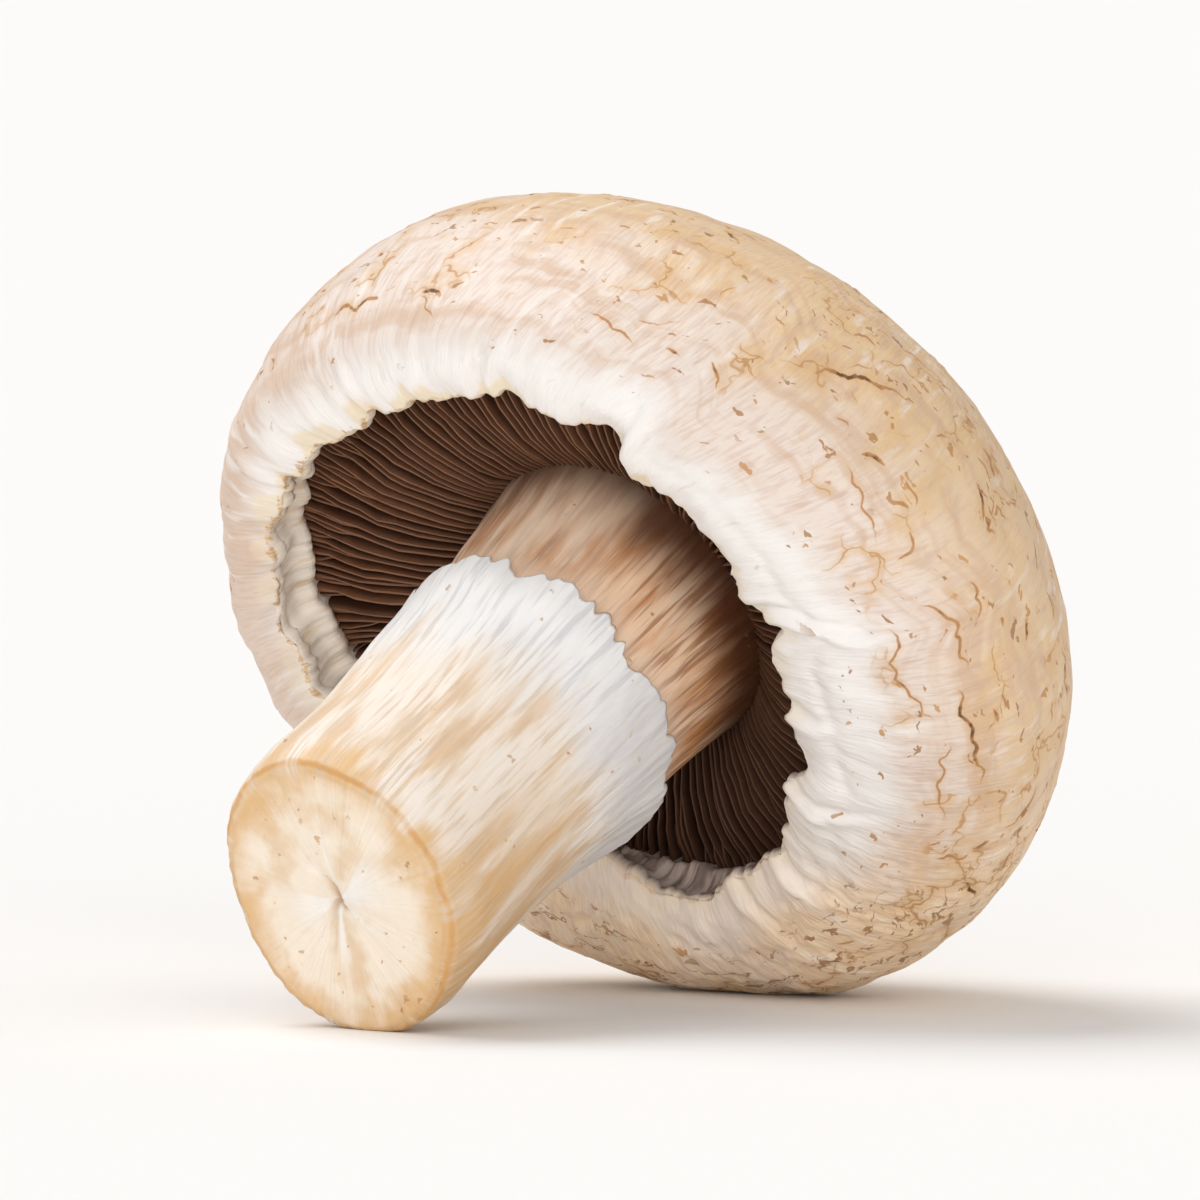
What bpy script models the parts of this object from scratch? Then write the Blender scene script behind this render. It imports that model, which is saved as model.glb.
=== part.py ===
"""A picked button mushroom that lies on its side, resting on its cap and on the rim of its cut stem.

The mushroom is drawn upright about its own axis: +Z towards the crown, with z = 0 at the widest circle of
the cap and +Y on the side that it will lie on. It is then laid back until the cap and the stem touch the
ground together. Lengths are in metres.
"""

import math

import bmesh
import bpy
from mathutils import Matrix, Vector

MM = 0.001
FULL_TURN = 2 * math.pi

# Cap: its outside, from the crown to the rolled-in margin
CAP_RADIUS = 25.8 * MM
CROWN_HEIGHT = 17.2 * MM
CROWN_POWER = 2.03
MARGIN_ROLL_RADIUS = 6.9 * MM
MARGIN_DEPTH = 7.8 * MM
MARGIN_ROLL_TURN = math.radians(113)
CAP_LOBES = ((2, 0.0192, 1.41), (3, 0.0071, 2.36))

# The mouth that the torn veil left is uneven and lies off the cap's centre, and the stem a little
MOUTH_SHIFT = Vector((-1.93, -2.32)) * MM
MOUTH_RADIUS = 17.05 * MM
MOUTH_LOBES = ((2, 0.57 * MM, 1.53), (3, 0.85 * MM, -1.36), (4, 0.18 * MM, -3.10), (5, 0.30 * MM, 1.50))
STEM_SHIFT_TOP = Vector((-0.69, -0.94)) * MM
STEM_SHIFT_END = Vector((0.08, -0.93)) * MM

# The torn edge: waves of (count, reach, phase), and single tears of (angle, reach, width)
EDGE_THICKNESS = 1.0 * MM
EDGE_WAVES = ((9, 0.10 * MM, 0.4), (14, 0.12 * MM, 1.9), (23, 0.12 * MM, 3.3), (31, 0.10 * MM, 5.2))
EDGE_TEARS = (
    (math.radians(-53), 1.0 * MM, math.radians(5)),
    (math.radians(-44), -0.9 * MM, math.radians(4)),
    (math.radians(-5), 1.3 * MM, math.radians(3)),
    (math.radians(25), 0.8 * MM, math.radians(5)),
    (math.radians(79), 0.8 * MM, math.radians(6)),
    (math.radians(101), -0.5 * MM, math.radians(6)),
    (math.radians(180), 0.85 * MM, math.radians(42)),
)

# The hollow under the cap that the gills fill, round the same centre as the mouth
HOLLOW_RADIUS = 18.3 * MM
HOLLOW_LOBE_SHARE = 0.75
HOLLOW_WIDEST_Z = -2.0 * MM
HOLLOW_ROOF_Z = 3.5 * MM
HOLLOW_POWER = 3.5

# Gills: full ones reach the stem, short ones stand between them near the margin. The tables give heights
# in millimetres against the way out from the stem, which is 0, to the hollow's wall, which is 1.
GILL_PAIRS = 44
GILL_THICKNESS = 0.60 * MM
GILL_FLANK = 0.10 * MM
GILL_INNER_RADIUS = 9.8 * MM
GILL_WALL_GAP = 0.5 * MM
SHORT_GILL_START = 0.40
SHORT_GILL_FULL = 0.62
GILL_EDGE = ((0.0, -1.5), (0.12, -2.3), (0.3, -3.0), (0.5, -3.5), (0.7, -3.7), (0.88, -3.6), (1.0, -3.1))
GILL_FLOOR = ((0.0, 2.4), (0.4, 2.3), (0.7, 1.8), (0.88, 0.8), (1.0, -1.2))
GILL_RINGS = (0.0, 0.12, 0.3, 0.5, 0.7, 0.88, 1.0)
GILL_ROOF_RINGS = (0.96, 0.85, 0.0)

# Stem, with the white sleeve of the veil round it up to a ragged edge
STEM_TOP_Z = 2.6 * MM
STEM_APEX_RADIUS = 9.4 * MM
STEM_NECK_RADIUS = 8.5 * MM
SLEEVE_EDGE_Z = -10.4 * MM
SLEEVE_EDGE_RADIUS = 9.1 * MM
SLEEVE_WAVES = ((7, 0.35 * MM, 1.1), (13, 0.25 * MM, 2.7), (21, 0.18 * MM, 0.3))
SLEEVE_DROOP = (math.radians(74), 3.2 * MM, math.radians(24))
STEM_WAIST_RADIUS = 8.25 * MM
STEM_FOOT_RADIUS = 8.5 * MM
STEM_END_RADIUS = 8.15 * MM
STEM_END_Z = -31.6 * MM
CUT_SLOPE = Vector((-0.05, -0.22))
CUT_EDGE_ROUND = 0.55 * MM
PIT_RADIUS = 1.3 * MM
PIT_DEPTH = 0.7 * MM
STEM_OVAL = ((2, 0.020, 1.0), (3, 0.012, 2.2))

# What touches the ground is pressed flat by this much
GROUND_PRESS = 0.25 * MM
GAP = 0.3 * MM

CAP_COLUMNS = 104
STEM_COLUMNS = 64
CAP_COLOUR = (0.80, 0.68, 0.54, 1.0)
GILL_COLOUR = (0.10, 0.055, 0.035, 1.0)
STEM_COLOUR = (0.84, 0.75, 0.63, 1.0)


def waves(angle, parts):
    """The sum of sines round the axis, each given as (count, reach, phase)."""
    return sum(reach * math.sin(count * angle + phase) for count, reach, phase in parts)


def between(x, table):
    """A straight-line reading of a table of (x, y) pairs."""
    for (x0, y0), (x1, y1) in zip(table, table[1:]):
        if x <= x1:
            return y0 + (y1 - y0) * max(0.0, (x - x0) / (x1 - x0))
    return table[-1][1]


def eased(share):
    """0 to 1 with soft ends."""
    share = min(1.0, max(0.0, share))
    return share * share * (3 - 2 * share)


def polar(radius, angle, z, shift=Vector((0, 0))):
    return Vector((radius * math.cos(angle) + shift.x, radius * math.sin(angle) + shift.y, z))


def mesh_object(name, points, faces, colour, roughness):
    """One closed body of points and faces, facing out, with its own material."""
    mesh = bpy.data.meshes.new(name)
    mesh.from_pydata([tuple(p) for p in points], [], faces)
    body = bmesh.new()
    body.from_mesh(mesh)
    bmesh.ops.recalc_face_normals(body, faces=body.faces)
    body.to_mesh(mesh)
    body.free()
    mesh.shade_smooth()
    mesh.set_sharp_from_angle(angle=math.radians(50))
    material = bpy.data.materials.new(name)
    material.use_nodes = True
    finish = material.node_tree.nodes["Principled BSDF"]
    finish.inputs["Base Color"].default_value = colour
    finish.inputs["Roughness"].default_value = roughness
    finish.inputs["Metallic"].default_value = 0.0
    mesh.materials.append(material)
    piece = bpy.data.objects.new(name, mesh)
    bpy.context.scene.collection.objects.link(piece)
    return piece


def bands(first, second, columns):
    """The faces between two rings of points that start at these indices."""
    around = [(i, (i + 1) % columns) for i in range(columns)]
    return [(first + i, first + j, second + j, second + i) for i, j in around]


def capped_body(rings, start, end):
    """Points and faces of a skin of rings, closed by a point at each end."""
    columns = len(rings[0])
    points = [p for ring in rings for p in ring] + [start, end]
    faces = []
    for k in range(len(rings) - 1):
        faces += bands(k * columns, (k + 1) * columns, columns)
    last = (len(rings) - 1) * columns
    for i in range(columns):
        j = (i + 1) % columns
        faces.append((len(points) - 2, j, i))
        faces.append((len(points) - 1, last + i, last + j))
    return points, faces


def ring_body(rings):
    """Points and faces of a skin of rings that closes on itself, as round a ring's section."""
    columns = len(rings[0])
    points = [p for ring in rings for p in ring]
    faces = []
    for k in range(len(rings)):
        faces += bands(k * columns, (k + 1) % len(rings) * columns, columns)
    return points, faces


def hump(angle, at, reach, width):
    """A single smooth rise of this reach round an angle."""
    return reach * math.exp(-((math.remainder(angle - at, FULL_TURN) / width) ** 2))


def torn_reach(angle):
    """How far the torn edge falls short of its even line at this angle."""
    return waves(angle, EDGE_WAVES) + sum(hump(angle, *tear) for tear in EDGE_TEARS)


def cap_outline(angle):
    """The cap's section at this angle, as (radius, z, share of the mouth's shift): crown, margin, lip, hollow."""
    lobe = 1 + waves(angle, CAP_LOBES)
    outline = []
    for step in range(1, 13):
        t = math.radians(90) * step / 12
        radius = CAP_RADIUS * math.sin(t) ** (2 / CROWN_POWER) * (1 + (lobe - 1) * step / 12)
        outline.append((radius, CROWN_HEIGHT * math.cos(t) ** (2 / CROWN_POWER), 0.0))
    roll_centre = CAP_RADIUS * lobe - MARGIN_ROLL_RADIUS
    roll_end = roll_centre + MARGIN_ROLL_RADIUS * math.cos(MARGIN_ROLL_TURN)
    mouth = MOUTH_RADIUS + waves(angle, MOUTH_LOBES)
    tear = torn_reach(angle)
    for step in range(1, 9):
        t = MARGIN_ROLL_TURN * step / 8
        share = eased(step / 8)
        radius = roll_centre + MARGIN_ROLL_RADIUS * math.cos(t) + (mouth - roll_end) * share
        outline.append((radius + tear * eased((step - 5) / 3), -MARGIN_DEPTH * math.sin(t), share))
    edge_z = outline[-1][1]
    lip = mouth + tear + 0.1 * MM
    wall = hollow_reach(angle)
    outline.append((lip, edge_z + EDGE_THICKNESS, 1.0))
    for step in range(1, 5):
        t = math.radians(90) * step / 4
        drop = (HOLLOW_WIDEST_Z - edge_z - EDGE_THICKNESS) * math.cos(t)
        outline.append((lip + (wall - lip) * math.sin(t), HOLLOW_WIDEST_Z - drop, 1.0))
    for step in range(1, 6):
        radius = wall * math.cos(math.radians(90) * 0.16 * step) ** (2 / HOLLOW_POWER)
        outline.append((radius, hollow_roof(radius, angle), 1.0))
    return outline


def hollow_reach(angle):
    """How far the hollow's wall stands from the mouth's centre at this angle."""
    return HOLLOW_RADIUS + HOLLOW_LOBE_SHARE * waves(angle, MOUTH_LOBES)


def hollow_roof(radius, angle):
    """The height of the hollow's roof at this radius and angle from the mouth's centre."""
    share = 1 - min(1.0, radius / hollow_reach(angle)) ** HOLLOW_POWER
    return HOLLOW_WIDEST_Z + (HOLLOW_ROOF_Z - HOLLOW_WIDEST_Z) * share ** (1 / HOLLOW_POWER)


def make_cap():
    """Cap with its rolled-in margin and the torn edge of the veil, hollow below for the gills."""
    angles = [FULL_TURN * i / CAP_COLUMNS for i in range(CAP_COLUMNS)]
    columns = [[polar(r, a, z, MOUTH_SHIFT * s) for r, z, s in cap_outline(a)] for a in angles]
    rings = list(zip(*columns))
    roof_middle = Vector((MOUTH_SHIFT.x, MOUTH_SHIFT.y, HOLLOW_ROOF_Z))
    points, faces = capped_body(rings, Vector((0, 0, CROWN_HEIGHT)), roof_middle)
    return mesh_object("cap", points, faces, CAP_COLOUR, 0.6)


def gill_point(way_out, angle, across, z):
    """A point this share of the way from the stem to the hollow's wall, moved sideways by a small length."""
    start = polar(GILL_INNER_RADIUS, angle, z, STEM_SHIFT_TOP)
    end = polar(hollow_reach(angle) - GILL_WALL_GAP, angle, z, MOUTH_SHIFT)
    return start.lerp(end, way_out) + across * Vector((-math.sin(angle), math.cos(angle), 0))


def under_roof(point):
    """The same point, lifted to just below the roof of the hollow."""
    off = point.xy - MOUTH_SHIFT
    return Vector((point.x, point.y, hollow_roof(off.length + GAP, math.atan2(off.y, off.x)) - GAP))


def gill_ring(way_out, edge, short_edge, floor):
    """One ring of the gills' comb: eight points a pair, up and down a full gill and a short one."""
    top, foot = GILL_THICKNESS / 2, GILL_THICKNESS / 2 + GILL_FLANK
    step = FULL_TURN / GILL_PAIRS / 2
    reach = GILL_INNER_RADIUS + way_out * (HOLLOW_RADIUS - GILL_WALL_GAP - GILL_INNER_RADIUS)
    room = min(1.0, 0.95 * (step * reach - foot) / foot)
    ring = []
    for blade in range(2 * GILL_PAIRS):
        height, squeeze = (short_edge, room) if blade % 2 else (edge, 1.0)
        for across, z in ((-foot, floor), (-top, height), (top, height), (foot, floor)):
            ring.append(gill_point(way_out, step * blade, across * squeeze, z))
    return ring


def make_gills():
    """The gills: radial blades of two lengths that stand out of one thin bed under the cap."""
    rings = []
    for way_out in GILL_RINGS:
        edge = between(way_out, GILL_EDGE) * MM
        floor = between(way_out, GILL_FLOOR) * MM
        grown = eased((way_out - SHORT_GILL_START) / (SHORT_GILL_FULL - SHORT_GILL_START))
        rings.append(gill_ring(way_out, edge, floor + (edge - floor) * grown, floor))
    for way_out in GILL_ROOF_RINGS:
        rings.append([under_roof(p) for p in gill_ring(way_out, 0.0, 0.0, 0.0)])
    points, faces = ring_body(rings)
    return mesh_object("gills", points, faces, GILL_COLOUR, 0.7)


def stem_outline(angle):
    """The stem's side at this angle, as (radius, z), from its top to the edge of the cut."""
    edge = SLEEVE_EDGE_Z + waves(angle, SLEEVE_WAVES) - hump(angle, *SLEEVE_DROOP)
    flare = 1 + waves(angle, STEM_OVAL)
    cut = STEM_END_Z + STEM_END_RADIUS * (CUT_SLOPE.x * math.cos(angle) + CUT_SLOPE.y * math.sin(angle))
    return [
        (STEM_APEX_RADIUS * 0.55, STEM_TOP_Z),
        (STEM_APEX_RADIUS, STEM_TOP_Z),
        (STEM_APEX_RADIUS, -1.0 * MM),
        (STEM_APEX_RADIUS - 0.5 * MM, -4.5 * MM),
        (STEM_NECK_RADIUS, edge + 1.5 * MM),
        (STEM_NECK_RADIUS, edge + 0.1 * MM),
        (SLEEVE_EDGE_RADIUS - 0.3 * MM, edge),
        (SLEEVE_EDGE_RADIUS, edge - 0.35 * MM),
        (SLEEVE_EDGE_RADIUS - 0.15 * MM, edge - 1.8 * MM),
        (SLEEVE_EDGE_RADIUS * flare - 0.5 * MM, edge - 4.5 * MM),
        (STEM_WAIST_RADIUS * flare, -21.5 * MM),
        (STEM_FOOT_RADIUS * flare, cut + 2.6 * MM),
        (STEM_END_RADIUS * flare + 0.1 * MM, cut + CUT_EDGE_ROUND),
        (STEM_END_RADIUS * flare - 0.35 * CUT_EDGE_ROUND, cut + 0.2 * CUT_EDGE_ROUND),
    ]


def stem_shift(z):
    """The stem's axis leans a little from the cap's, so it shifts sideways along its length."""
    share = (STEM_TOP_Z - z) / (STEM_TOP_Z - STEM_END_Z)
    return STEM_SHIFT_TOP.lerp(STEM_SHIFT_END, share)


def cut_face_ring(radius, sink):
    """A ring on the sloping cut face, sunk by this much."""
    shift = stem_shift(STEM_END_Z)
    ring = []
    for i in range(STEM_COLUMNS):
        angle = FULL_TURN * i / STEM_COLUMNS
        slope = radius * (CUT_SLOPE.x * math.cos(angle) + CUT_SLOPE.y * math.sin(angle))
        ring.append(polar(radius, angle, STEM_END_Z + slope + sink, shift))
    return ring


def make_stem():
    """The stem, with the veil's ragged sleeve round it and a sloping knife cut with a small pit in the middle."""
    angles = [FULL_TURN * i / STEM_COLUMNS for i in range(STEM_COLUMNS)]
    columns = [[polar(r, a, z, stem_shift(z)) for r, z in stem_outline(a)] for a in angles]
    rings = list(zip(*columns))
    rings.append(cut_face_ring(STEM_END_RADIUS * 0.93, 0.0))
    rings.append(cut_face_ring(PIT_RADIUS, 0.1 * MM))
    top = Vector((STEM_SHIFT_TOP.x, STEM_SHIFT_TOP.y, STEM_TOP_Z))
    pit = Vector((STEM_SHIFT_END.x, STEM_SHIFT_END.y, STEM_END_Z + PIT_DEPTH))
    points, faces = capped_body(rings, top, pit)
    return mesh_object("stem", points, faces, STEM_COLOUR, 0.65)


def lowest(piece, turn):
    return min((turn @ v.co).z for v in piece.data.vertices)


def resting_turn(cap, stem):
    """The turn that lays the crown back until cap and stem reach equally low."""
    low, high = math.radians(5), math.radians(60)
    for _ in range(40):
        tilt = (low + high) / 2
        turn = Matrix.Rotation(tilt - math.radians(90), 4, "X")
        if lowest(stem, turn) > lowest(cap, turn):
            low = tilt
        else:
            high = tilt
    return turn


def lay_down(pieces, turn):
    """Lowers the pieces onto the ground, centres them over the origin, and presses what touches flat."""
    corners = [turn @ v.co for piece in pieces for v in piece.data.vertices]
    spans = [(min(c[k] for c in corners), max(c[k] for c in corners)) for k in range(3)]
    drop = spans[2][0] + GROUND_PRESS
    middle = [(low + high) / 2 for low, high in spans]
    place = Matrix.Translation((-middle[0], -middle[1], -drop)) @ turn
    carrier = bpy.data.objects.new("mushroom", None)
    bpy.context.scene.collection.objects.link(carrier)
    carrier.matrix_world = place
    back = place.inverted()
    for piece in pieces:
        piece.parent = carrier
        for vertex in piece.data.vertices:
            world = place @ vertex.co
            if world.z < 0:
                world.z = 0.0
                vertex.co = back @ world


def main():
    for old in list(bpy.data.objects):
        bpy.data.objects.remove(old)
    cap, gills, stem = make_cap(), make_gills(), make_stem()
    lay_down((cap, gills, stem), resting_turn(cap, stem))


main()
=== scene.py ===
import math
import random

import bpy
import numpy as np
from mathutils import Matrix, Vector, kdtree, noise


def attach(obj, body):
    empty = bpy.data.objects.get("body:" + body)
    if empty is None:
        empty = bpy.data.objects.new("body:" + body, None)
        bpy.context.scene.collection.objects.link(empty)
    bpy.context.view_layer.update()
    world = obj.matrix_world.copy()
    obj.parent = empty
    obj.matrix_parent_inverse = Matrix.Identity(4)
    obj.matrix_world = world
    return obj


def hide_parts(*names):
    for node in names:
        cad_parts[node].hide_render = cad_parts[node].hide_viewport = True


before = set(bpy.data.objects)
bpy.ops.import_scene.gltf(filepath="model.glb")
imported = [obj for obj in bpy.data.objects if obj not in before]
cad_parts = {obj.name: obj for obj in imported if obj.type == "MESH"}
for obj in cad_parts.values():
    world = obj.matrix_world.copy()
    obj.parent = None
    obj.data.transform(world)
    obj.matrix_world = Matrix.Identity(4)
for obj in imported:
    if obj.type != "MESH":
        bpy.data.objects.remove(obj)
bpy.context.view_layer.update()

# Cap
# The domed cap of the mushroom: white flesh under a thin cream skin that has dried and cracked into small
# brown-edged scales. Its margin rolls in under it and ends in the white edge that the torn veil left. It is
# drawn upright in millimetres, +Z to the crown and +Y to the side it lies on, and then laid down.

MILLIMETRE = 0.001
REST_PLACE = Vector((-0.000129, 0.005189, 0.022607))
REST_TURN = math.radians(-59.619)
LAID_DOWN = Matrix.Translation(REST_PLACE) @ Matrix.Rotation(REST_TURN, 4, "X")
PRESS_HEIGHT = 0.00025

CAP_RADIUS = 25.8
CROWN_HEIGHT = 17.2
CROWN_POWER = 2.03
ROLL_RADIUS = 6.9
MARGIN_DEPTH = 7.8
ROLL_TURN = math.radians(113)
CAP_LOBES = ((2, 0.0192, 1.41), (3, 0.0071, 2.36))

MOUTH_CENTRE = (-1.93, -2.32)
MOUTH_RADIUS = 17.05
MOUTH_LOBES = ((2, 0.57, 1.53), (3, 0.85, -1.36), (4, 0.18, -3.10), (5, 0.30, 1.50))
EDGE_WAVES = ((9, 0.10, 0.4), (14, 0.12, 1.9), (23, 0.12, 3.3), (31, 0.10, 5.2))
EDGE_TEARS = (
    (-53, 1.0, 5),
    (-44, -0.9, 4),
    (-5, 1.3, 3),
    (25, 0.8, 5),
    (79, 0.8, 6),
    (101, -0.5, 6),
    (180, 0.85, 42),
)
EDGE_THICKNESS = 0.9
LIP_STEP = 0.1
LIP_BULGE = 0.25
SCALE_SIZE = 3.4
SCALE_WIDENING = 0.65
SEAM_BENDS = 1.7
SCALE_SEED = 3.0
SCALE_SWELL = 0.00007
SCALE_GROOVE = 0.00006
CRACK_REACH = 0.9
CRACK_STEP = 0.1
CRACK_BOW = 0.24
CRACK_RIPPLE = 0.10
HOLLOW_RADIUS = 18.3
HOLLOW_WIDEST = -2.0
HOLLOW_ROOF = 3.5
HOLLOW_POWER = 3.5
ROOF_TURN = math.radians(82)
WALL_FOLLOWS = 0.75
WALL_LEAN = ((182, 0.15, 50),)
MARGIN_CIRCLE = 17
FIBRE_DRAW = (1, 1, 0.22)

CAP_COLUMNS = 640
CROWN_RINGS = 50
ROLL_RINGS = 68
EDGE_RINGS = 8
WALL_RINGS = 18
ROOF_RINGS = 6


def waves(angle, parts):
    """The sum of sines round the axis, each given as (count, reach, phase)."""
    return sum(reach * np.sin(count * angle + phase) for count, reach, phase in parts)


def bell(value, width, centre=0.0):
    """1 at the centre, and falling smoothly to nothing within about twice this width."""
    return np.exp(-(((value - centre) / width) ** 2))


def humps(angle, parts):
    """Single smooth rises round the axis, each given as (degrees, reach, width in degrees)."""
    total = 0.0
    for at, reach, width in parts:
        off = (np.degrees(angle) - at + 180) % 360 - 180
        total = total + reach * bell(off, width)
    return total


def eased(share):
    """0 to 1 with soft ends."""
    share = np.clip(share, 0.0, 1.0)
    return share * share * (3 - 2 * share)


def rough(points, size, seed):
    """Smooth noise of about -1 to 1 at each point, with bumps of about this size."""
    shift = Vector((7.3 * seed, 3.1 * seed, 5.7 * seed))
    values = [noise.noise(Vector(p) / size + shift) for p in points.reshape(-1, 3)]
    return 1.6 * np.array(values).reshape(points.shape[:-1])


def ring_noise(angle, radius, size, seed):
    """Smooth noise that closes on itself once round a circle of this radius."""
    circle = np.stack([radius * np.cos(angle), radius * np.sin(angle), np.zeros_like(angle)], axis=-1)
    return rough(circle, size, seed)


def polar_grid(profile, angles):
    """Rings of points from (radius, z, x shift, y shift), each a number or one for each angle."""
    rings = []
    for radius, z, x, y in profile:
        across = radius * np.cos(angles) + x
        along = radius * np.sin(angles) + y
        rings.append(np.stack([across, along, z * np.ones_like(angles)], axis=-1))
    return np.array(rings)


def grid_normals(grid):
    """The outward direction at each point of a grid of rings."""
    around = np.roll(grid, -1, axis=1) - np.roll(grid, 1, axis=1)
    along = np.gradient(grid, axis=0)
    normal = np.cross(along, around)
    return normal / np.maximum(np.linalg.norm(normal, axis=-1, keepdims=True), 1e-9)


def pressed_flat(points):
    """Points in metres, softly flattened where they would sink into the floor."""
    low = np.clip(points[:, 2], -PRESS_HEIGHT, PRESS_HEIGHT)
    flat = (low + PRESS_HEIGHT) ** 2 / (4 * PRESS_HEIGHT)
    points[:, 2] = np.where(points[:, 2] < PRESS_HEIGHT, flat, points[:, 2])
    return points


def closed_mesh(name, grid, start, end, values):
    """A closed mesh of a grid of rings with a point at each end, laid down, its values on its points."""
    rings, columns = grid.shape[:2]
    points = np.concatenate([grid.reshape(-1, 3), [start, end]]) * MILLIMETRE
    turn = np.array(LAID_DOWN)
    points = pressed_flat(points @ turn[:3, :3].T + turn[:3, 3])
    here = np.arange(rings * columns).reshape(rings, columns)
    beside = np.roll(here, -1, axis=1)
    quads = np.stack([here[:-1], here[1:], beside[1:], beside[:-1]], axis=-1).reshape(-1, 4)
    faces = quads.tolist()
    faces += [(rings * columns, a, b) for a, b in zip(here[0].tolist(), beside[0].tolist())]
    faces += [(rings * columns + 1, b, a) for a, b in zip(here[-1].tolist(), beside[-1].tolist())]
    mesh = bpy.data.meshes.new(name)
    mesh.from_pydata(points.tolist(), [], faces)
    for key, value in values.items():
        kind = "FLOAT_VECTOR" if value.ndim == 3 else "FLOAT"
        ends = [value[0].mean(axis=0, keepdims=True), value[-1].mean(axis=0, keepdims=True)]
        flat = np.concatenate([value.reshape(rings * columns, -1)] + [e.reshape(1, -1) for e in ends])
        slot = mesh.attributes.new(key, kind, "POINT")
        slot.data.foreach_set("vector" if value.ndim == 3 else "value", flat.ravel().astype(np.float32))
    mesh.shade_smooth()
    mesh.update()
    piece = bpy.data.objects.new(name, mesh)
    bpy.context.scene.collection.objects.link(piece)
    return piece


def on_surface(grid, reach, angle, distance):
    """The spot on a grid at this angle (radians) and distance from the torn edge."""
    column = angle / (2 * math.pi) * grid.shape[1]
    corners = []
    for k in (math.floor(column), math.floor(column) + 1):
        beside = k % grid.shape[1]
        down = reach[:, beside]
        ring = min(max(int(np.searchsorted(-down, -distance)), 1), len(down) - 1)
        mix = min(max((distance - down[ring]) / max(down[ring - 1] - down[ring], 1e-6), 0.0), 1.0)
        corners.append(grid[ring, beside] * (1 - mix) + grid[ring - 1, beside] * mix)
    share = column - math.floor(column)
    return corners[0] * (1 - share) + corners[1] * share


def cap_girth(distance):
    """The rough radius of the cap's outside, this far from the torn edge."""
    return 12.0 + 0.5 * min(distance, 26.0)


def crack_points(crack, grid, reach, chance):
    """Points, sideways directions and depths along a crack that bows out between sharp corners."""
    angle, distance, end_angle, end_distance, bows, depth = crack
    radius = cap_girth(distance)
    across = radius * math.radians(end_angle - angle)
    along = end_distance - distance
    length = math.hypot(across, along)
    count = max(8, int(length / CRACK_STEP))
    phases = [chance.uniform(0, 6.28) for _ in range(3)]
    trail = []
    for k in range(count + 1):
        t = k / count
        ripples = [math.sin((1.7 * j + 1.3) * length * t + phases[j]) / (j + 1) for j in range(3)]
        bow = CRACK_BOW * length / bows * (abs(math.sin(math.pi * bows * t)) - 0.5)
        bow += CRACK_RIPPLE * sum(ripples)
        way_round = math.radians(angle) + (across * t - bow * along / length) / radius
        trail.append(on_surface(grid, reach, way_round, distance + along * t + bow * across / length))
    trail = np.array(trail)
    ahead = np.gradient(trail, axis=0)
    outward = trail - np.array((0.0, 0.0, -2.0))
    side = np.cross(outward, ahead)
    side /= np.maximum(np.linalg.norm(side, axis=1, keepdims=True), 1e-9)
    t = np.linspace(0, 1, count + 1)
    return trail, side, depth * np.clip(np.minimum(5 * t, 3 * (1 - t)), 0, 1)


def nearest_crack(grid, cracks, reach):
    """For each grid point the signed distance to the nearest crack, and that crack's depth."""
    spots, sides, depths = (np.concatenate(parts) for parts in zip(*cracks))
    tree = kdtree.KDTree(len(spots))
    for k, spot in enumerate(spots):
        tree.insert(spot, k)
    tree.balance()
    off = np.full(grid.shape[:2], reach)
    deep = np.zeros(grid.shape[:2])
    for index in np.ndindex(grid.shape[:2]):
        _, k, away = tree.find(grid[index])
        if away < reach:
            apart = float(np.dot(grid[index] - spots[k], sides[k]))
            past_end = math.sqrt(max(0.0, away * away - apart * apart))
            off[index] = math.copysign(away, apart)
            deep[index] = depths[k] * max(0.0, 1 - past_end / 0.25)
    return off, deep


column_angles = 2 * np.pi * np.arange(CAP_COLUMNS) / CAP_COLUMNS


def margin_noise(size, seed):
    """Smooth noise round the margin of the cap, one value for each column."""
    return ring_noise(column_angles, MARGIN_CIRCLE, size, seed)


cap_lobe = 1 + waves(column_angles, CAP_LOBES)
mouth = MOUTH_RADIUS + waves(column_angles, MOUTH_LOBES)
scallops = 0.25 * margin_noise(2.4, 1) + 0.10 * margin_noise(0.6, 2)
scallops += 0.55 * np.abs(margin_noise(1.9, 3)) - 0.2
tear = waves(column_angles, EDGE_WAVES) + humps(column_angles, EDGE_TEARS) + scallops
wall = HOLLOW_RADIUS + WALL_FOLLOWS * (mouth - MOUTH_RADIUS) - humps(column_angles, WALL_LEAN)
roll_centre = CAP_RADIUS * cap_lobe - ROLL_RADIUS
roll_end = roll_centre + ROLL_RADIUS * math.cos(ROLL_TURN)

cap_profile = []
for step in range(1, CROWN_RINGS + 1):
    share = 1 - (1 - step / CROWN_RINGS) ** 1.25
    t = math.radians(90) * share
    radius = CAP_RADIUS * math.sin(t) ** (2 / CROWN_POWER) * (1 + (cap_lobe - 1) * share)
    cap_profile.append((radius, CROWN_HEIGHT * max(0.0, math.cos(t)) ** (2 / CROWN_POWER), 0.0, 0.0))
for step in range(1, ROLL_RINGS + 1):
    share = step / ROLL_RINGS
    t = ROLL_TURN * share
    moved = eased(share)
    radius = roll_centre + ROLL_RADIUS * math.cos(t) + (mouth - roll_end) * moved
    radius = radius + tear * eased((share * 8 - 5) / 3)
    x, y = (centre * moved for centre in MOUTH_CENTRE)
    cap_profile.append((radius, -MARGIN_DEPTH * math.sin(t), x, y))
edge_z = -MARGIN_DEPTH * math.sin(ROLL_TURN)
lip = mouth + tear
for step in range(1, EDGE_RINGS + 1):
    t = math.pi * step / EDGE_RINGS
    radius = lip + LIP_STEP - LIP_BULGE * math.sin(t)
    cap_profile.append((radius, edge_z + EDGE_THICKNESS * (1 - math.cos(t)) / 2, *MOUTH_CENTRE))
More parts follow.
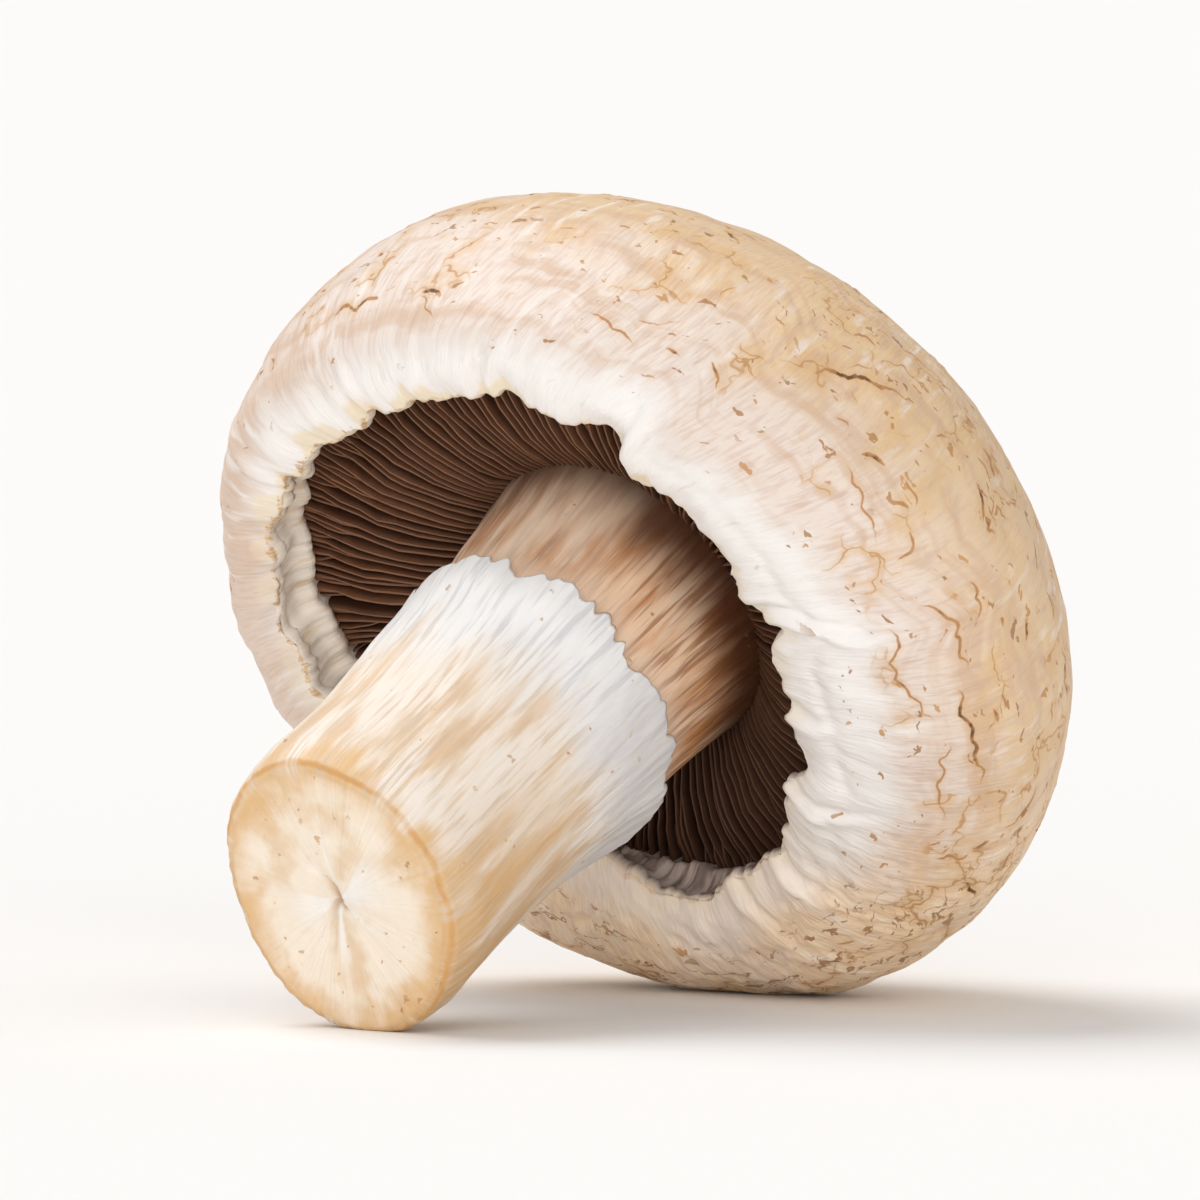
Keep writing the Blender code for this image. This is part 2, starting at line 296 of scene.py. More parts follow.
for step in range(1, WALL_RINGS + 1):
    t = math.radians(90) * step / WALL_RINGS
    drop = (HOLLOW_WIDEST - edge_z - EDGE_THICKNESS) * math.cos(t)
    radius = lip + LIP_STEP + (wall - lip - LIP_STEP) * math.sin(t)
    cap_profile.append((radius, HOLLOW_WIDEST - drop, *MOUTH_CENTRE))
for step in range(1, ROOF_RINGS + 1):
    radius = wall * math.cos(ROOF_TURN * step / ROOF_RINGS) ** (2 / HOLLOW_POWER)
    roof = (1 - (radius / wall) ** HOLLOW_POWER) ** (1 / HOLLOW_POWER)
    cap_profile.append((radius, HOLLOW_WIDEST + (HOLLOW_ROOF - HOLLOW_WIDEST) * roof, *MOUTH_CENTRE))
cap_grid = polar_grid(cap_profile, column_angles)

# Each point's distance from the torn edge, over the outside and, less than nothing, down the inner wall
outer_rings = CROWN_RINGS + ROLL_RINGS
steps = np.linalg.norm(np.diff(cap_grid, axis=0), axis=-1)
reach = np.zeros(cap_grid.shape[:2])
reach[:outer_rings - 1] = np.cumsum(steps[:outer_rings - 1][::-1], axis=0)[::-1]
reach[outer_rings:] = -np.cumsum(steps[outer_rings - 1:], axis=0)

# Long cracks, given one by one, on the side that shows best, as degrees and distance from the edge at each
# end, the number of bows between, and the depth. Short ones are drawn at random all over, most of them lying
# the way round the cap.
LONG_CRACKS = (
    (-42, 14.3, -30, 17.6, 3, 1.0),
    (-30, 10.9, -17, 10.2, 4, 0.5),
    (-24, 13.6, -20, 13.0, 1, 0.55),
    (-17, 18.2, -10, 17.4, 2, 0.95),
    (-9, 10.2, 3, 12.5, 4, 0.75),
    (-9, 13.5, -3, 12.4, 2, 0.55),
    (4, 11.2, 21, 11.8, 4, 1.0),
    (-7, 7.1, 10, 9.6, 6, 0.7),
    (12, 10.0, 27, 8.6, 4, 0.6),
    (11, 20.7, 19, 19.8, 2, 0.9),
    (25, 15.4, 30, 13.4, 1, 0.6),
)
SHORT_CRACKS = 230
FAR_CRACKS = 70
chance = random.Random(11)
all_cracks = list(LONG_CRACKS)
for k in range(SHORT_CRACKS):
    angle = chance.uniform(33, 318)
    distance = 5.5 + 42.0 * chance.random() ** 1.2
    length = 0.5 + 2.4 * chance.random() ** 2
    heading = chance.gauss(0.0, 0.6)
    turn = math.degrees(length * math.cos(heading) / cap_girth(distance))
    end = distance + length * math.sin(heading)
    bows = 1 + int(length > 1.6)
    all_cracks.append((angle, distance, angle + turn, end, bows, chance.uniform(0.25, 1.0)))
for k in range(FAR_CRACKS):
    angle = chance.uniform(-45, 38)
    distance = chance.uniform(12, 34)
    turn = chance.uniform(1.0, 5.0)
    end = distance + chance.gauss(0.0, 0.5)
    all_cracks.append((angle, distance, angle + turn, end, 1, chance.uniform(0.3, 1.0)))
outside = cap_grid[:outer_rings]
trails = [crack_points(crack, outside, reach[:outer_rings], chance) for crack in all_cracks]
crack_off = np.full(cap_grid.shape[:2], CRACK_REACH)
crack_deep = np.zeros(cap_grid.shape[:2])
crack_off[:outer_rings], crack_deep[:outer_rings] = nearest_crack(outside, trails, CRACK_REACH)
crack_stain = crack_deep * np.clip(1 - np.abs(crack_off) / CRACK_REACH, 0, 1) ** 1.5
crack_deep = crack_deep * np.clip((0.5 - np.abs(crack_off)) / 0.15, 0, 1)

# Relief: soft dents, radial folds in the torn band, a shallow groove round it, and the cracks' lifted lips
cap_angle = np.broadcast_to(column_angles, cap_grid.shape[:2])
cap_degrees = np.degrees(cap_angle)
margin_x, margin_y = MARGIN_CIRCLE * np.cos(cap_angle), MARGIN_CIRCLE * np.sin(cap_angle)
round_way = np.stack([margin_x, margin_y, reach], axis=-1)
outer_share = (reach >= 0).astype(float)
low_share = eased((np.sin(cap_angle - math.radians(8)) - 0.25) / 0.5)
left_share = humps(column_angles, ((186, 1.0, 42),))
near_mouth = bell(reach, 9.0)
relief = 0.16 * rough(cap_grid, 9.0, 4) + (0.07 + 0.12 * near_mouth) * rough(cap_grid, 3.0, 5)
relief += outer_share * 0.15 * rough(round_way * FIBRE_DRAW, 1.1, 6) * bell(reach, 4.5)
relief += outer_share * 0.050 * rough(round_way * FIBRE_DRAW, 0.5, 7) * bell(reach, 13)
wrinkles = np.abs(rough(cap_grid * (1, 1, 0.7), 1.5, 31))
relief -= outer_share * 0.30 * low_share * wrinkles * bell(reach, 4.5, 4.5)
FOLDS = (
    (-7.5, 10.0, 0.34),
    (-48.0, 5.0, 0.22),
    (-29.0, 4.0, 0.14),
    (14.0, 5.0, 0.18),
    (33.0, 6.5, 0.26),
    (52.0, 6.0, 0.30),
    (66.0, 5.0, 0.24),
    (-77.0, 5.0, 0.16),
    (-112.0, 6.0, 0.16),
    (-146.0, 7.0, 0.18),
)
FOLD_CIRCLE = 17.5
GROOVED = ((10, 1.0, 50), (-110, 0.6, 45))
for degrees, length, height in FOLDS:
    bend = 1.1 * np.sin(reach * 0.55 + degrees) * np.clip(reach / 6, 0, 1)
    off = FOLD_CIRCLE * np.radians((cap_degrees - degrees + 180) % 360 - 180) - bend
    along = np.clip(1.6 * (1 - reach / length), 0, 1) * outer_share
    relief += along * 1.4 * height * (bell(off, 0.42) - 0.8 * bell(off, 0.32, -0.75))
groove_at = 3.1 + 0.4 * margin_noise(5.0, 33)
ring_groove = bell(reach, 0.55, groove_at) * humps(cap_angle, GROOVED)
relief -= outer_share * 0.22 * ring_groove
veil_start = 4.4 + humps(column_angles, ((8, 2.4, 45),)) - 3.9 * left_share - 2.0 * low_share[0]
veil_start += 0.7 * margin_noise(6.0, 8) + 0.5 * margin_noise(1.8, 9)
step_off = reach - veil_start
relief += outer_share * 0.05 * np.tanh(step_off / 0.6) * bell(step_off, 2.2)
groove = -0.13 * bell(crack_off, 0.16)
lifted = 0.09 * bell(crack_off, 0.28, 0.28) * (crack_off > 0)
relief += outer_share * crack_deep * (groove + lifted)
pleats = 0.3 - np.abs(rough(round_way * (1, 1, 0.10), 0.9, 10))
relief += (1 - outer_share) * 0.75 * pleats * bell(reach, 2.0, -2.4)
collar = bell(reach, 0.6, -3.2) * (0.65 + 0.2 * margin_noise(2.0, 34))
relief += (1 - outer_share) * collar
bare_grid = cap_grid
cap_grid = cap_grid + grid_normals(cap_grid) * relief[..., None]

cap = closed_mesh(
    "cap_skin",
    cap_grid,
    (0, 0, CROWN_HEIGHT),
    (*MOUTH_CENTRE, HOLLOW_ROOF),
    {
        "own_place": bare_grid,
        "round_way": round_way,
        "from_edge": reach,
        "veil_step": step_off,
        "crack_off": crack_off,
        "crack_deep": crack_deep,
        "crack_stain": crack_stain,
    },
)


def node(tree, kind, inputs=None, **settings):
    """Adds a node; an input given as a socket is linked, and any other is set."""
    made = tree.nodes.new(kind)
    for key, value in settings.items():
        setattr(made, key, value)
    for key, value in (inputs or {}).items():
        if isinstance(value, bpy.types.NodeSocket):
            tree.links.new(value, made.inputs[key])
        else:
            made.inputs[key].default_value = value
    return made


def sums(tree, operation, *values):
    """One step of arithmetic."""
    return node(tree, "ShaderNodeMath", dict(enumerate(values)), operation=operation).outputs[0]


def times(tree, first, second):
    """The product of two values."""
    return sums(tree, "MULTIPLY", first, second)


def plus(tree, base, factor, value):
    """The base and the value times a factor."""
    return sums(tree, "MULTIPLY_ADD", value, factor, base)


def nudged(tree, base, factor, noise_value):
    """The base moved to and fro by a noise that is about 0.5."""
    return plus(tree, base, factor, sums(tree, "SUBTRACT", noise_value, 0.5))


def larger(tree, first, second):
    """The larger of two values."""
    return sums(tree, "MAXIMUM", first, second)


def vector_sums(tree, operation, *values):
    """One step of arithmetic on whole vectors."""
    return node(tree, "ShaderNodeVectorMath", dict(enumerate(values)), operation=operation).outputs[0]


def vector_plus(tree, base, factors, value):
    """The base and the value times the factors, part by part."""
    return vector_sums(tree, "MULTIPLY_ADD", value, factors, base)


def ramp(tree, value, low, high, start=0.0, end=1.0):
    """start to end, softly, as the value goes from low to high."""
    marks = {0: value, 1: low, 2: high, 3: start, 4: end}
    return node(tree, "ShaderNodeMapRange", marks, interpolation_type="SMOOTHSTEP").outputs[0]


def blend(tree, share, first, second):
    """Two colours mixed, from all the first to all the second; each is a socket or (r, g, b)."""
    inputs = {0: share}
    for key, colour in ((6, first), (7, second)):
        inputs[key] = colour if isinstance(colour, bpy.types.NodeSocket) else (*colour, 1.0)
    return node(tree, "ShaderNodeMix", inputs, data_type="RGBA").outputs[2]


def grain(tree, place, stretch, size, detail=2.0):
    """Noise with bumps of about this size in millimetres, stretched by 1/stretch along each axis."""
    scaled = vector_sums(tree, "MULTIPLY", place, stretch)
    inputs = {"Vector": scaled, "Scale": 1 / size, "Detail": detail}
    return node(tree, "ShaderNodeTexNoise", inputs).outputs[0]


def swirl(tree, place, scale, detail=2.0):
    """A noise that gives each spot a vector of its own, each part about 0.5."""
    inputs = {"Vector": place, "Scale": scale, "Detail": detail}
    return node(tree, "ShaderNodeTexNoise", inputs).outputs["Color"]


def wobbly(tree, place, scale, reach):
    """The place bent by a noise, so that round marks come out ragged."""
    return vector_plus(tree, place, (reach, reach, reach), swirl(tree, place, scale))


def fleck_cells(tree, place):
    """Cells of about one unit: the way to the nearest middle, and three random values for each cell."""
    cells = node(tree, "ShaderNodeTexVoronoi", {"Vector": place, "Scale": 1.0, "Randomness": 1.0})
    drawn = node(tree, "ShaderNodeSeparateColor", {0: cells.outputs["Color"]}).outputs
    return cells.outputs["Distance"], drawn[0], drawn[1], drawn[2]


def kept(tree, name, vector=False):
    """A value that the mesh keeps on its points."""
    return node(tree, "ShaderNodeAttribute", attribute_name=name).outputs["Vector" if vector else "Fac"]


def seams(tree, place, size, seed):
    """Millimetres to the nearest seam in a net of uneven scales of this size, wider than they are high."""
    drift = vector_sums(tree, "SUBTRACT", swirl(tree, place, SEAM_BENDS / size), (0.5, 0.5, 0.5))
    bent = vector_plus(tree, place, (size, size, size), drift)
    squeeze = (SCALE_WIDENING / size, SCALE_WIDENING / size, 1 / size)
    cell = vector_plus(tree, (seed,) * 3, squeeze, bent)
    inputs = {"Vector": cell, "Scale": 1.0}
    net = node(tree, "ShaderNodeTexVoronoi", inputs, feature="DISTANCE_TO_EDGE")
    return times(tree, net.outputs["Distance"], size)


def stored(tree, name, kind="FLOAT"):
    """A value that the mesh keeps on its points, for a geometry node tree."""
    return node(tree, "GeometryNodeInputNamedAttribute", {"Name": name}, data_type=kind).outputs[0]


def sized_tree(name, sizes):
    """A geometry node tree that takes a geometry, named sizes and a material, with its two ends."""
    tree = bpy.data.node_groups.new(name, "GeometryNodeTree")
    tree.interface.new_socket("Geometry", in_out="INPUT", socket_type="NodeSocketGeometry")
    for label, kind, value in sizes:
        tree.interface.new_socket(label, in_out="INPUT", socket_type=kind).default_value = value
    tree.interface.new_socket("Material", in_out="INPUT", socket_type="NodeSocketMaterial")
    tree.interface.new_socket("Geometry", in_out="OUTPUT", socket_type="NodeSocketGeometry")
    return tree, tree.nodes.new("NodeGroupInput").outputs, tree.nodes.new("NodeGroupOutput")


def pushed(tree, geometry, way, far):
    """The geometry with each point moved this far along its way."""
    shift = node(tree, "ShaderNodeVectorMath", {0: way, "Scale": far}, operation="SCALE").outputs[0]
    return node(tree, "GeometryNodeSetPosition", {"Geometry": geometry, "Offset": shift}).outputs[0]


def dressed_end(tree, geometry, material, result):
    """The end of a tree: the geometry gets its material and comes out."""
    dressed = node(tree, "GeometryNodeSetMaterial", {"Geometry": geometry, "Material": material})
    tree.links.new(dressed.outputs[0], result.inputs[0])


def scale_tree():
    """The node tree that raises the skin's scales between their seams; its heights are in metres."""
    tree, given, result = sized_tree(
        "skin_scales",
        (
            ("Scale size", "NodeSocketFloat", SCALE_SIZE),
            ("Swell", "NodeSocketFloat", SCALE_SWELL),
            ("Groove", "NodeSocketFloat", SCALE_GROOVE),
        ),
    )
    place = stored(tree, "own_place", "FLOAT_VECTOR")
    edge_way = stored(tree, "from_edge")
    away = sums(tree, "DIVIDE", seams(tree, place, SCALE_SIZE, SCALE_SEED), given["Scale size"])
    swell = times(tree, ramp(tree, away, 0.0, 0.35), given["Swell"])
    open_share = ramp(tree, grain(tree, place, (1, 1, 1), 2.0), 0.50, 0.60)
    groove = times(tree, ramp(tree, away, 0.09, 0.0), given["Groove"])
    groove = times(tree, groove, open_share)
    skin = ramp(tree, edge_way, 4.5, 8.0)
    height = times(tree, sums(tree, "SUBTRACT", swell, groove), skin)
    outward = node(tree, "GeometryNodeInputNormal").outputs[0]
    raised = pushed(tree, given["Geometry"], outward, height)
    real = node(tree, "GeometryNodeRealizeInstances", {"Geometry": raised}).outputs[0]
    dressed_end(tree, real, given["Material"], result)
    return tree


def made_by_nodes(piece, tree, material):
    """The piece as a plain mesh, after a geometry node tree has worked on it."""
    maker = piece.modifiers.new(tree.name, "NODES")
    maker.node_group = tree
    for item in tree.interface.items_tree:
        if item.in_out == "INPUT" and item.name == "Material":
            maker[item.identifier] = material
    mesh = bpy.data.meshes.new_from_object(piece.evaluated_get(bpy.context.evaluated_depsgraph_get()))
    piece.modifiers.clear()
    piece.data = mesh
    return piece


def pressed(piece):
    """The piece with its mesh softly flattened on the floor."""
    spots = np.empty(3 * len(piece.data.vertices))
    piece.data.vertices.foreach_get("co", spots)
    piece.data.vertices.foreach_set("co", pressed_flat(spots.reshape(-1, 3)).ravel())
    piece.data.update()
    return piece


def flesh_material(name, roughness):
    """A matt material for mushroom flesh."""
    material = bpy.data.materials.new(name)
    material.use_nodes = True
    tree = material.node_tree
    surface = tree.nodes["Principled BSDF"]
    surface.inputs["Roughness"].default_value = roughness
    surface.inputs["Specular IOR Level"].default_value = 0.35
    return material, tree, surface


PINKISH_WHITE = (0.83, 0.72, 0.645)
CREAM = (0.79, 0.575, 0.35)
DUSKY_TAN = (0.66, 0.44, 0.28)
WARM_TAN = (0.80, 0.50, 0.26)
OCHRE = (0.76, 0.51, 0.26)
DUN = (0.70, 0.53, 0.41)
LOW_DUN_BOUNCE_LIT = (1.0, 0.77, 0.51)
FIBRE_SHADE = (0.66, 0.47, 0.37)
TUFT_SHADE = (0.62, 0.42, 0.30)
PALE_TUFT = (0.90, 0.84, 0.79)
LOW_PALE_TUFT_BOUNCE_LIT = (1.0, 0.90, 0.78)
VEIL_WHITE = (0.94, 0.91, 0.88)
VEIL_CREASE_SHADE = (0.74, 0.62, 0.54)
EDGE_CREAM = (0.88, 0.75, 0.53)
EDGE_BROWN = (0.60, 0.36, 0.17)
EDGE_TAN = (0.80, 0.58, 0.34)
WALL_WHITE = (1.0, 0.93, 0.82)
PLEAT_SHADE_TAN = (0.78, 0.57, 0.35)
SPORE_AND_SHADE_BROWN = (0.24, 0.185, 0.16)
SPORE_AND_SHADE_GREY = (0.56, 0.47, 0.42)
HOLLOW_SHADE_BROWN = (0.10, 0.055, 0.035)
SEAM_HALO = (0.74, 0.48, 0.24)
SEAM_TAN = (0.66, 0.38, 0.16)
SEAM_BROWN = (0.42, 0.20, 0.08)
CRACK_HALO = (0.72, 0.43, 0.19)
CRACK_BROWN = (0.52, 0.27, 0.11)
CRACK_DARK = (0.17, 0.075, 0.03)
FLECK_DARK = (0.34, 0.15, 0.05)
FLECK_TAN = (0.62, 0.32, 0.11)
DASH_DARK = (0.22, 0.09, 0.035)
DASH_TAN = (0.56, 0.29, 0.11)

cap_material, tree, surface = flesh_material("cap_skin", 0.5)
place = kept(tree, "own_place", vector=True)
around = kept(tree, "round_way", vector=True)
edge_way = kept(tree, "from_edge")
rightward, groundward, _ = node(tree, "ShaderNodeSeparateXYZ", {0: around}).outputs
low_side = ramp(tree, groundward, 4.0, 12.0)
left_side = ramp(tree, rightward, -6.0, -15.0)
right_side = ramp(tree, rightward, -6.0, 14.0)
off_crown = ramp(tree, edge_way, 44.0, 31.0)
near_margin = ramp(tree, edge_way, 27.0, 15.0)

# White with a breath of pink near the margin, cream to tan further out, soonest on the right
clouds = grain(tree, place, (1, 1, 1), 7.0, 3.0)
out_way = plus(tree, edge_way, 14.0, clouds)
out_way = plus(tree, out_way, 4.0, right_side)
colour = blend(tree, ramp(tree, out_way, 18.0, 28.0), PINKISH_WHITE, CREAM)
streaks = grain(tree, around, (0.22, 0.22, 1.0), 1.4, 4.0)
upper_side = ramp(tree, groundward, 1.0, -11.0)
tan_way = plus(tree, edge_way, 5.0, larger(tree, low_side, upper_side))
tan_share = times(tree, ramp(tree, streaks, 0.46, 0.66), ramp(tree, tan_way, 6.0, 13.0, 0.05, 0.70))
colour = blend(tree, tan_share, colour, blend(tree, low_side, DUSKY_TAN, WARM_TAN))
patches = ramp(tree, grain(tree, place, (1, 1, 1), 3.4, 4.0), 0.46, 0.64, 0.0, 0.75)
colour = blend(tree, times(tree, patches, ramp(tree, edge_way, 9.0, 15.0)), colour, OCHRE)
dun = times(tree, larger(tree, left_side, low_side), ramp(tree, clouds, 0.35, 0.6, 0.4, 0.85))
# Painted bounce light: on the low side the dun is painted brighter, as if lit from the floor below.
dun_tone = blend(tree, low_side, DUN, LOW_DUN_BOUNCE_LIT)
colour = blend(tree, dun, colour, dun_tone)

# Silky fibres that run out from the mouth, with pinkish brown shade between them and pale ones on top
fibres = grain(tree, around, (1.0, 1.0, 0.10), 0.15, 1.0)
tufts = grain(tree, around, (1.0, 1.0, 0.20), 0.55, 3.0)
shade = times(tree, ramp(tree, fibres, 0.54, 0.34), ramp(tree, edge_way, 26.0, 6.0, 0.20, 0.40))
shade = times(tree, shade, off_crown)
colour = blend(tree, shade, colour, FIBRE_SHADE)
tuft_shade = times(tree, ramp(tree, tufts, 0.45, 0.28), ramp(tree, edge_way, 3.0, 8.0, 0.1, 0.55))
tuft_shade = times(tree, tuft_shade, off_crown)
colour = blend(tree, tuft_shade, colour, TUFT_SHADE)
pale = times(tree, ramp(tree, tufts, 0.52, 0.70), ramp(tree, clouds, 0.40, 0.62, 0.0, 0.7))
pale = times(tree, pale, off_crown)
# Painted bounce light: on the low side the pale tufts are painted brighter and warmer, as if lit from the
# floor.
colour = blend(tree, pale, colour, blend(tree, low_side, PALE_TUFT, LOW_PALE_TUFT_BOUNCE_LIT))

# The torn band is white with pinkish grey painted shade lines as in creases, fades out on the low side, and
# ends in a thin yellow or brown line
band_fade = plus(tree, kept(tree, "veil_step"), -2.2, tufts)
band = ramp(tree, band_fade, 0.6, -2.6)
band = times(tree, band, ramp(tree, groundward, 8.0, 16.0, 0.95, 0.45))
colour = blend(tree, band, colour, VEIL_WHITE)
# Painted shade: pinkish grey lines across the band, standing in for the shade in its creases.
band_crease_shade = times(tree, ramp(tree, tufts, 0.42, 0.25, 0.0, 0.45), ramp(tree, edge_way, 0.5, 2.5))
colour = blend(tree, times(tree, band_crease_shade, band), colour, VEIL_CREASE_SHADE)
rim_wave = grain(tree, around, (1, 1, 0.2), 2.0, 3.0)
cream_width = ramp(tree, rim_wave, 0.40, 0.66, 0.1, 1.6)
cream_height = sums(tree, "SUBTRACT", cream_width, edge_way)
cream_side = ramp(tree, groundward, -2.0, -11.0, 0.3, 0.75)
cream = times(tree, ramp(tree, cream_height, -0.25, 0.4), cream_side)
colour = blend(tree, cream, colour, EDGE_CREAM)
rim_hooks = grain(tree, around, (1, 1, 1), 0.6, 3.0)
hook_width = ramp(tree, rim_hooks, 0.46, 0.68, 0.02, 0.40)
rim_off = sums(tree, "SUBTRACT", hook_width, sums(tree, "ABSOLUTE", edge_way))
brown_rim = ramp(tree, rim_off, -0.06, 0.10, 0.0, 0.85)
brown_rim = times(tree, brown_rim, ramp(tree, rightward, 8.0, -10.0, 0.12, 1.0))
rim_tone = blend(tree, ramp(tree, fibres, 0.4, 0.6), EDGE_BROWN, EDGE_TAN)
colour = blend(tree, brown_rim, colour, rim_tone)

# The inner wall is white with painted tan shade in its pleats, and grey-brown on the low side: spores and
# painted shade
# Painted shade: tan in the valleys of the pleats.
pleat_shade_grain = ramp(tree, grain(tree, around, (1, 1, 0.12), 0.55, 3.0), 0.50, 0.34)
pleat_shade_share = times(tree, pleat_shade_grain, ramp(tree, rim_wave, 0.35, 0.60, 0.15, 0.7))
wall_tone = blend(tree, pleat_shade_share, WALL_WHITE, PLEAT_SHADE_TAN)
# Grey-brown on the low side: spore dust, darkened further as painted shade.
low_wall_grain = ramp(tree, grain(tree, around, (1, 1, 0.15), 0.3, 2.0), 0.35, 0.65)
spore_and_shade = blend(tree, low_wall_grain, SPORE_AND_SHADE_BROWN, SPORE_AND_SHADE_GREY)
wall_tone = blend(tree, ramp(tree, groundward, 2.0, 9.0), wall_tone, spore_and_shade)
colour = blend(tree, ramp(tree, edge_way, -0.15, -0.8), colour, wall_tone)
# Deeper in, where the blades meet the wall, the gills' own brown is deepened by painted shade.
colour = blend(tree, ramp(tree, edge_way, -5.0, -6.0), colour, HOLLOW_SHADE_BROWN)

# Seams: of a net of large scales only short stretches have opened and browned
open_share = ramp(tree, plus(tree, grain(tree, place, (1, 1, 1), 3.5), 0.06, low_side), 0.50, 0.62)
open_share = times(tree, open_share, ramp(tree, edge_way, 5.5, 9.0))
big_seams = seams(tree, place, SCALE_SIZE, SCALE_SEED)
halo = times(tree, ramp(tree, big_seams, 0.60, 0.0, 0.0, 0.60), open_share)
colour = blend(tree, halo, colour, SEAM_HALO)
seam_line = times(tree, ramp(tree, big_seams, 0.08, 0.02, 0.0, 0.85), open_share)
line_tone = blend(tree, clouds, SEAM_TAN, SEAM_BROWN)
colour = blend(tree, seam_line, colour, line_tone)

# The cracks, dark in the middle with a tan stain beside them
deep = kept(tree, "crack_deep")
fray = sums(tree, "SUBTRACT", rim_hooks, 0.5)
apart = sums(tree, "ABSOLUTE", plus(tree, kept(tree, "crack_off"), 0.12, fray))
colour = blend(tree, times(tree, kept(tree, "crack_stain"), 0.75), colour, CRACK_HALO)
crack_width = plus(tree, 0.02, 0.13, deep)
broken = times(tree, deep, ramp(tree, streaks, 0.36, 0.50, 0.35, 1.0))
inside = ramp(tree, sums(tree, "SUBTRACT", apart, crack_width), 0.04, -0.04)
line = times(tree, inside, ramp(tree, broken, 0.02, 0.3))
crack_shade = ramp(tree, times(tree, deep, rim_hooks), 0.26, 0.50)
crack_tone = blend(tree, crack_shade, CRACK_BROWN, CRACK_DARK)
colour = blend(tree, line, colour, crack_tone)

# Small brown flecks, longer the way round the cap than across, thickest far out and on the low side
wobbled = wobbly(tree, around, 1.6, 1.6)
fleck_place = vector_sums(tree, "MULTIPLY", wobbled, (0.9, 0.9, 1.5))
fleck_way, draw_often, draw_size, draw_tone = fleck_cells(tree, fleck_place)
fleck_size = plus(tree, 0.145, 0.18, sums(tree, "POWER", draw_size, 2.0))
fleck_size = plus(tree, fleck_size, 0.5, fray)
fleck = ramp(tree, sums(tree, "SUBTRACT", fleck_way, fleck_size), 0.03, -0.04, 0.0, 0.85)
spotted_side = times(tree, larger(tree, low_side, left_side), near_margin)
often = plus(tree, ramp(tree, edge_way, 3.0, 16.0, -0.06, 0.29), 0.26, spotted_side)
often = plus(tree, sums(tree, "SUBTRACT", often, 0.2), 0.2, off_crown)
fleck = times(tree, fleck, ramp(tree, sums(tree, "ADD", draw_often, often), 0.74, 0.80))
fleck_tone = blend(tree, draw_tone, FLECK_DARK, FLECK_TAN)
colour = blend(tree, times(tree, fleck, ramp(tree, edge_way, 2.0, 4.0)), colour, fleck_tone)
dash_grain = grain(tree, wobbled, (0.30, 0.30, 1.1), 0.5, 2.0)
dashes = times(tree, ramp(tree, dash_grain, 0.60, 0.67, 0.0, 0.9), ramp(tree, edge_way, 2.5, 6.0))
dash_zone = larger(tree, groundward, ramp(tree, edge_way, 16.0, 26.0, 0.0, 11.0))
dash_way = plus(tree, dash_zone, 9.0, clouds)
dashes = times(tree, dashes, ramp(tree, dash_way, 13.5, 17.0))
dashes = times(tree, dashes, plus(tree, 0.25, 0.75, near_margin))
colour = blend(tree, dashes, colour, blend(tree, streaks, DASH_DARK, DASH_TAN))
tree.links.new(colour, surface.inputs["Base Color"])

height = times(tree, plus(tree, fibres, 0.6, tufts), off_crown)
bump = node(tree, "ShaderNodeBump", {"Height": height, "Strength": 0.5, "Distance": 0.00014})
tree.links.new(bump.outputs[0], surface.inputs["Normal"])

cap = pressed(made_by_nodes(cap, scale_tree(), cap_material))
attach(cap, "root")
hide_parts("cap")

# Stem
# A short thick stalk of packed fibres, drawn as one skin from the gills to the knife cut. It is brown where
# it meets the gills, wrapped in a white sleeve that tore from the veil with a ragged upper edge, and cream
# with ochre stains below. The cut is nearly flat, tan at its rim, with a small crease in the middle.

STEM_COLUMNS = 400
CUT_RINGS = 45
STEM_CIRCLE = 9
FIBRE_CIRCLE = 8.5
STEM_TOP = 2.4
LEAN_START = 2.6
STEM_TOP_SHIFT = (-0.69, -0.94)
STEM_END_SHIFT = (0.08, -0.93)
APEX_RADIUS = 9.4
NECK_RADIUS = 8.5
SLEEVE_EDGE = -10.4
SLEEVE_RADIUS = 9.1
SLEEVE_WAVES = ((7, 0.35, 1.1), (13, 0.25, 2.7), (21, 0.18, 0.3))
SLEEVE_DROOP = ((74, 3.2, 24),)
WAIST_RADIUS = 8.25
FOOT_RADIUS = 8.5
END_RADIUS = 8.15
STEM_END = -31.6
CUT_SLOPE = (-0.05, -0.22)
STEM_OVAL = ((2, 0.020, 1.0), (3, 0.012, 2.2))
CREASES = ((-0.65, -0.76, 2.7, 0.55), (-0.70, 0.70, 2.2, 0.40), (0.55, 0.83, 1.1, 0.25))


def run_between(first, last, count):
    """count rings from the first (radius, z) to the last, without the first."""
    return [tuple(a + (b - a) * (k / count) for a, b in zip(first, last)) for k in range(1, count + 1)]


def smooth_run(marks, count):
    """count rings through the (radius, z) marks, on a curve that passes through each."""
    ways = np.linspace(0, len(marks) - 1, count + 1)[1:]
    rings = []
    for way in ways:
        k = min(int(way), len(marks) - 2)
        f = way - k
        before, a, b, after = (marks[min(max(k + j, 0), len(marks) - 1)] for j in (-1, 0, 1, 2))
        ring = []
        for p0, p1, p2, p3 in zip(before, a, b, after):
            bend = 2 * p0 - 5 * p1 + 4 * p2 - p3 + f * (3 * (p1 - p2) + p3 - p0)
            ring.append(p1 + 0.5 * f * (p2 - p0 + f * bend))
        rings.append(tuple(ring))
    return rings


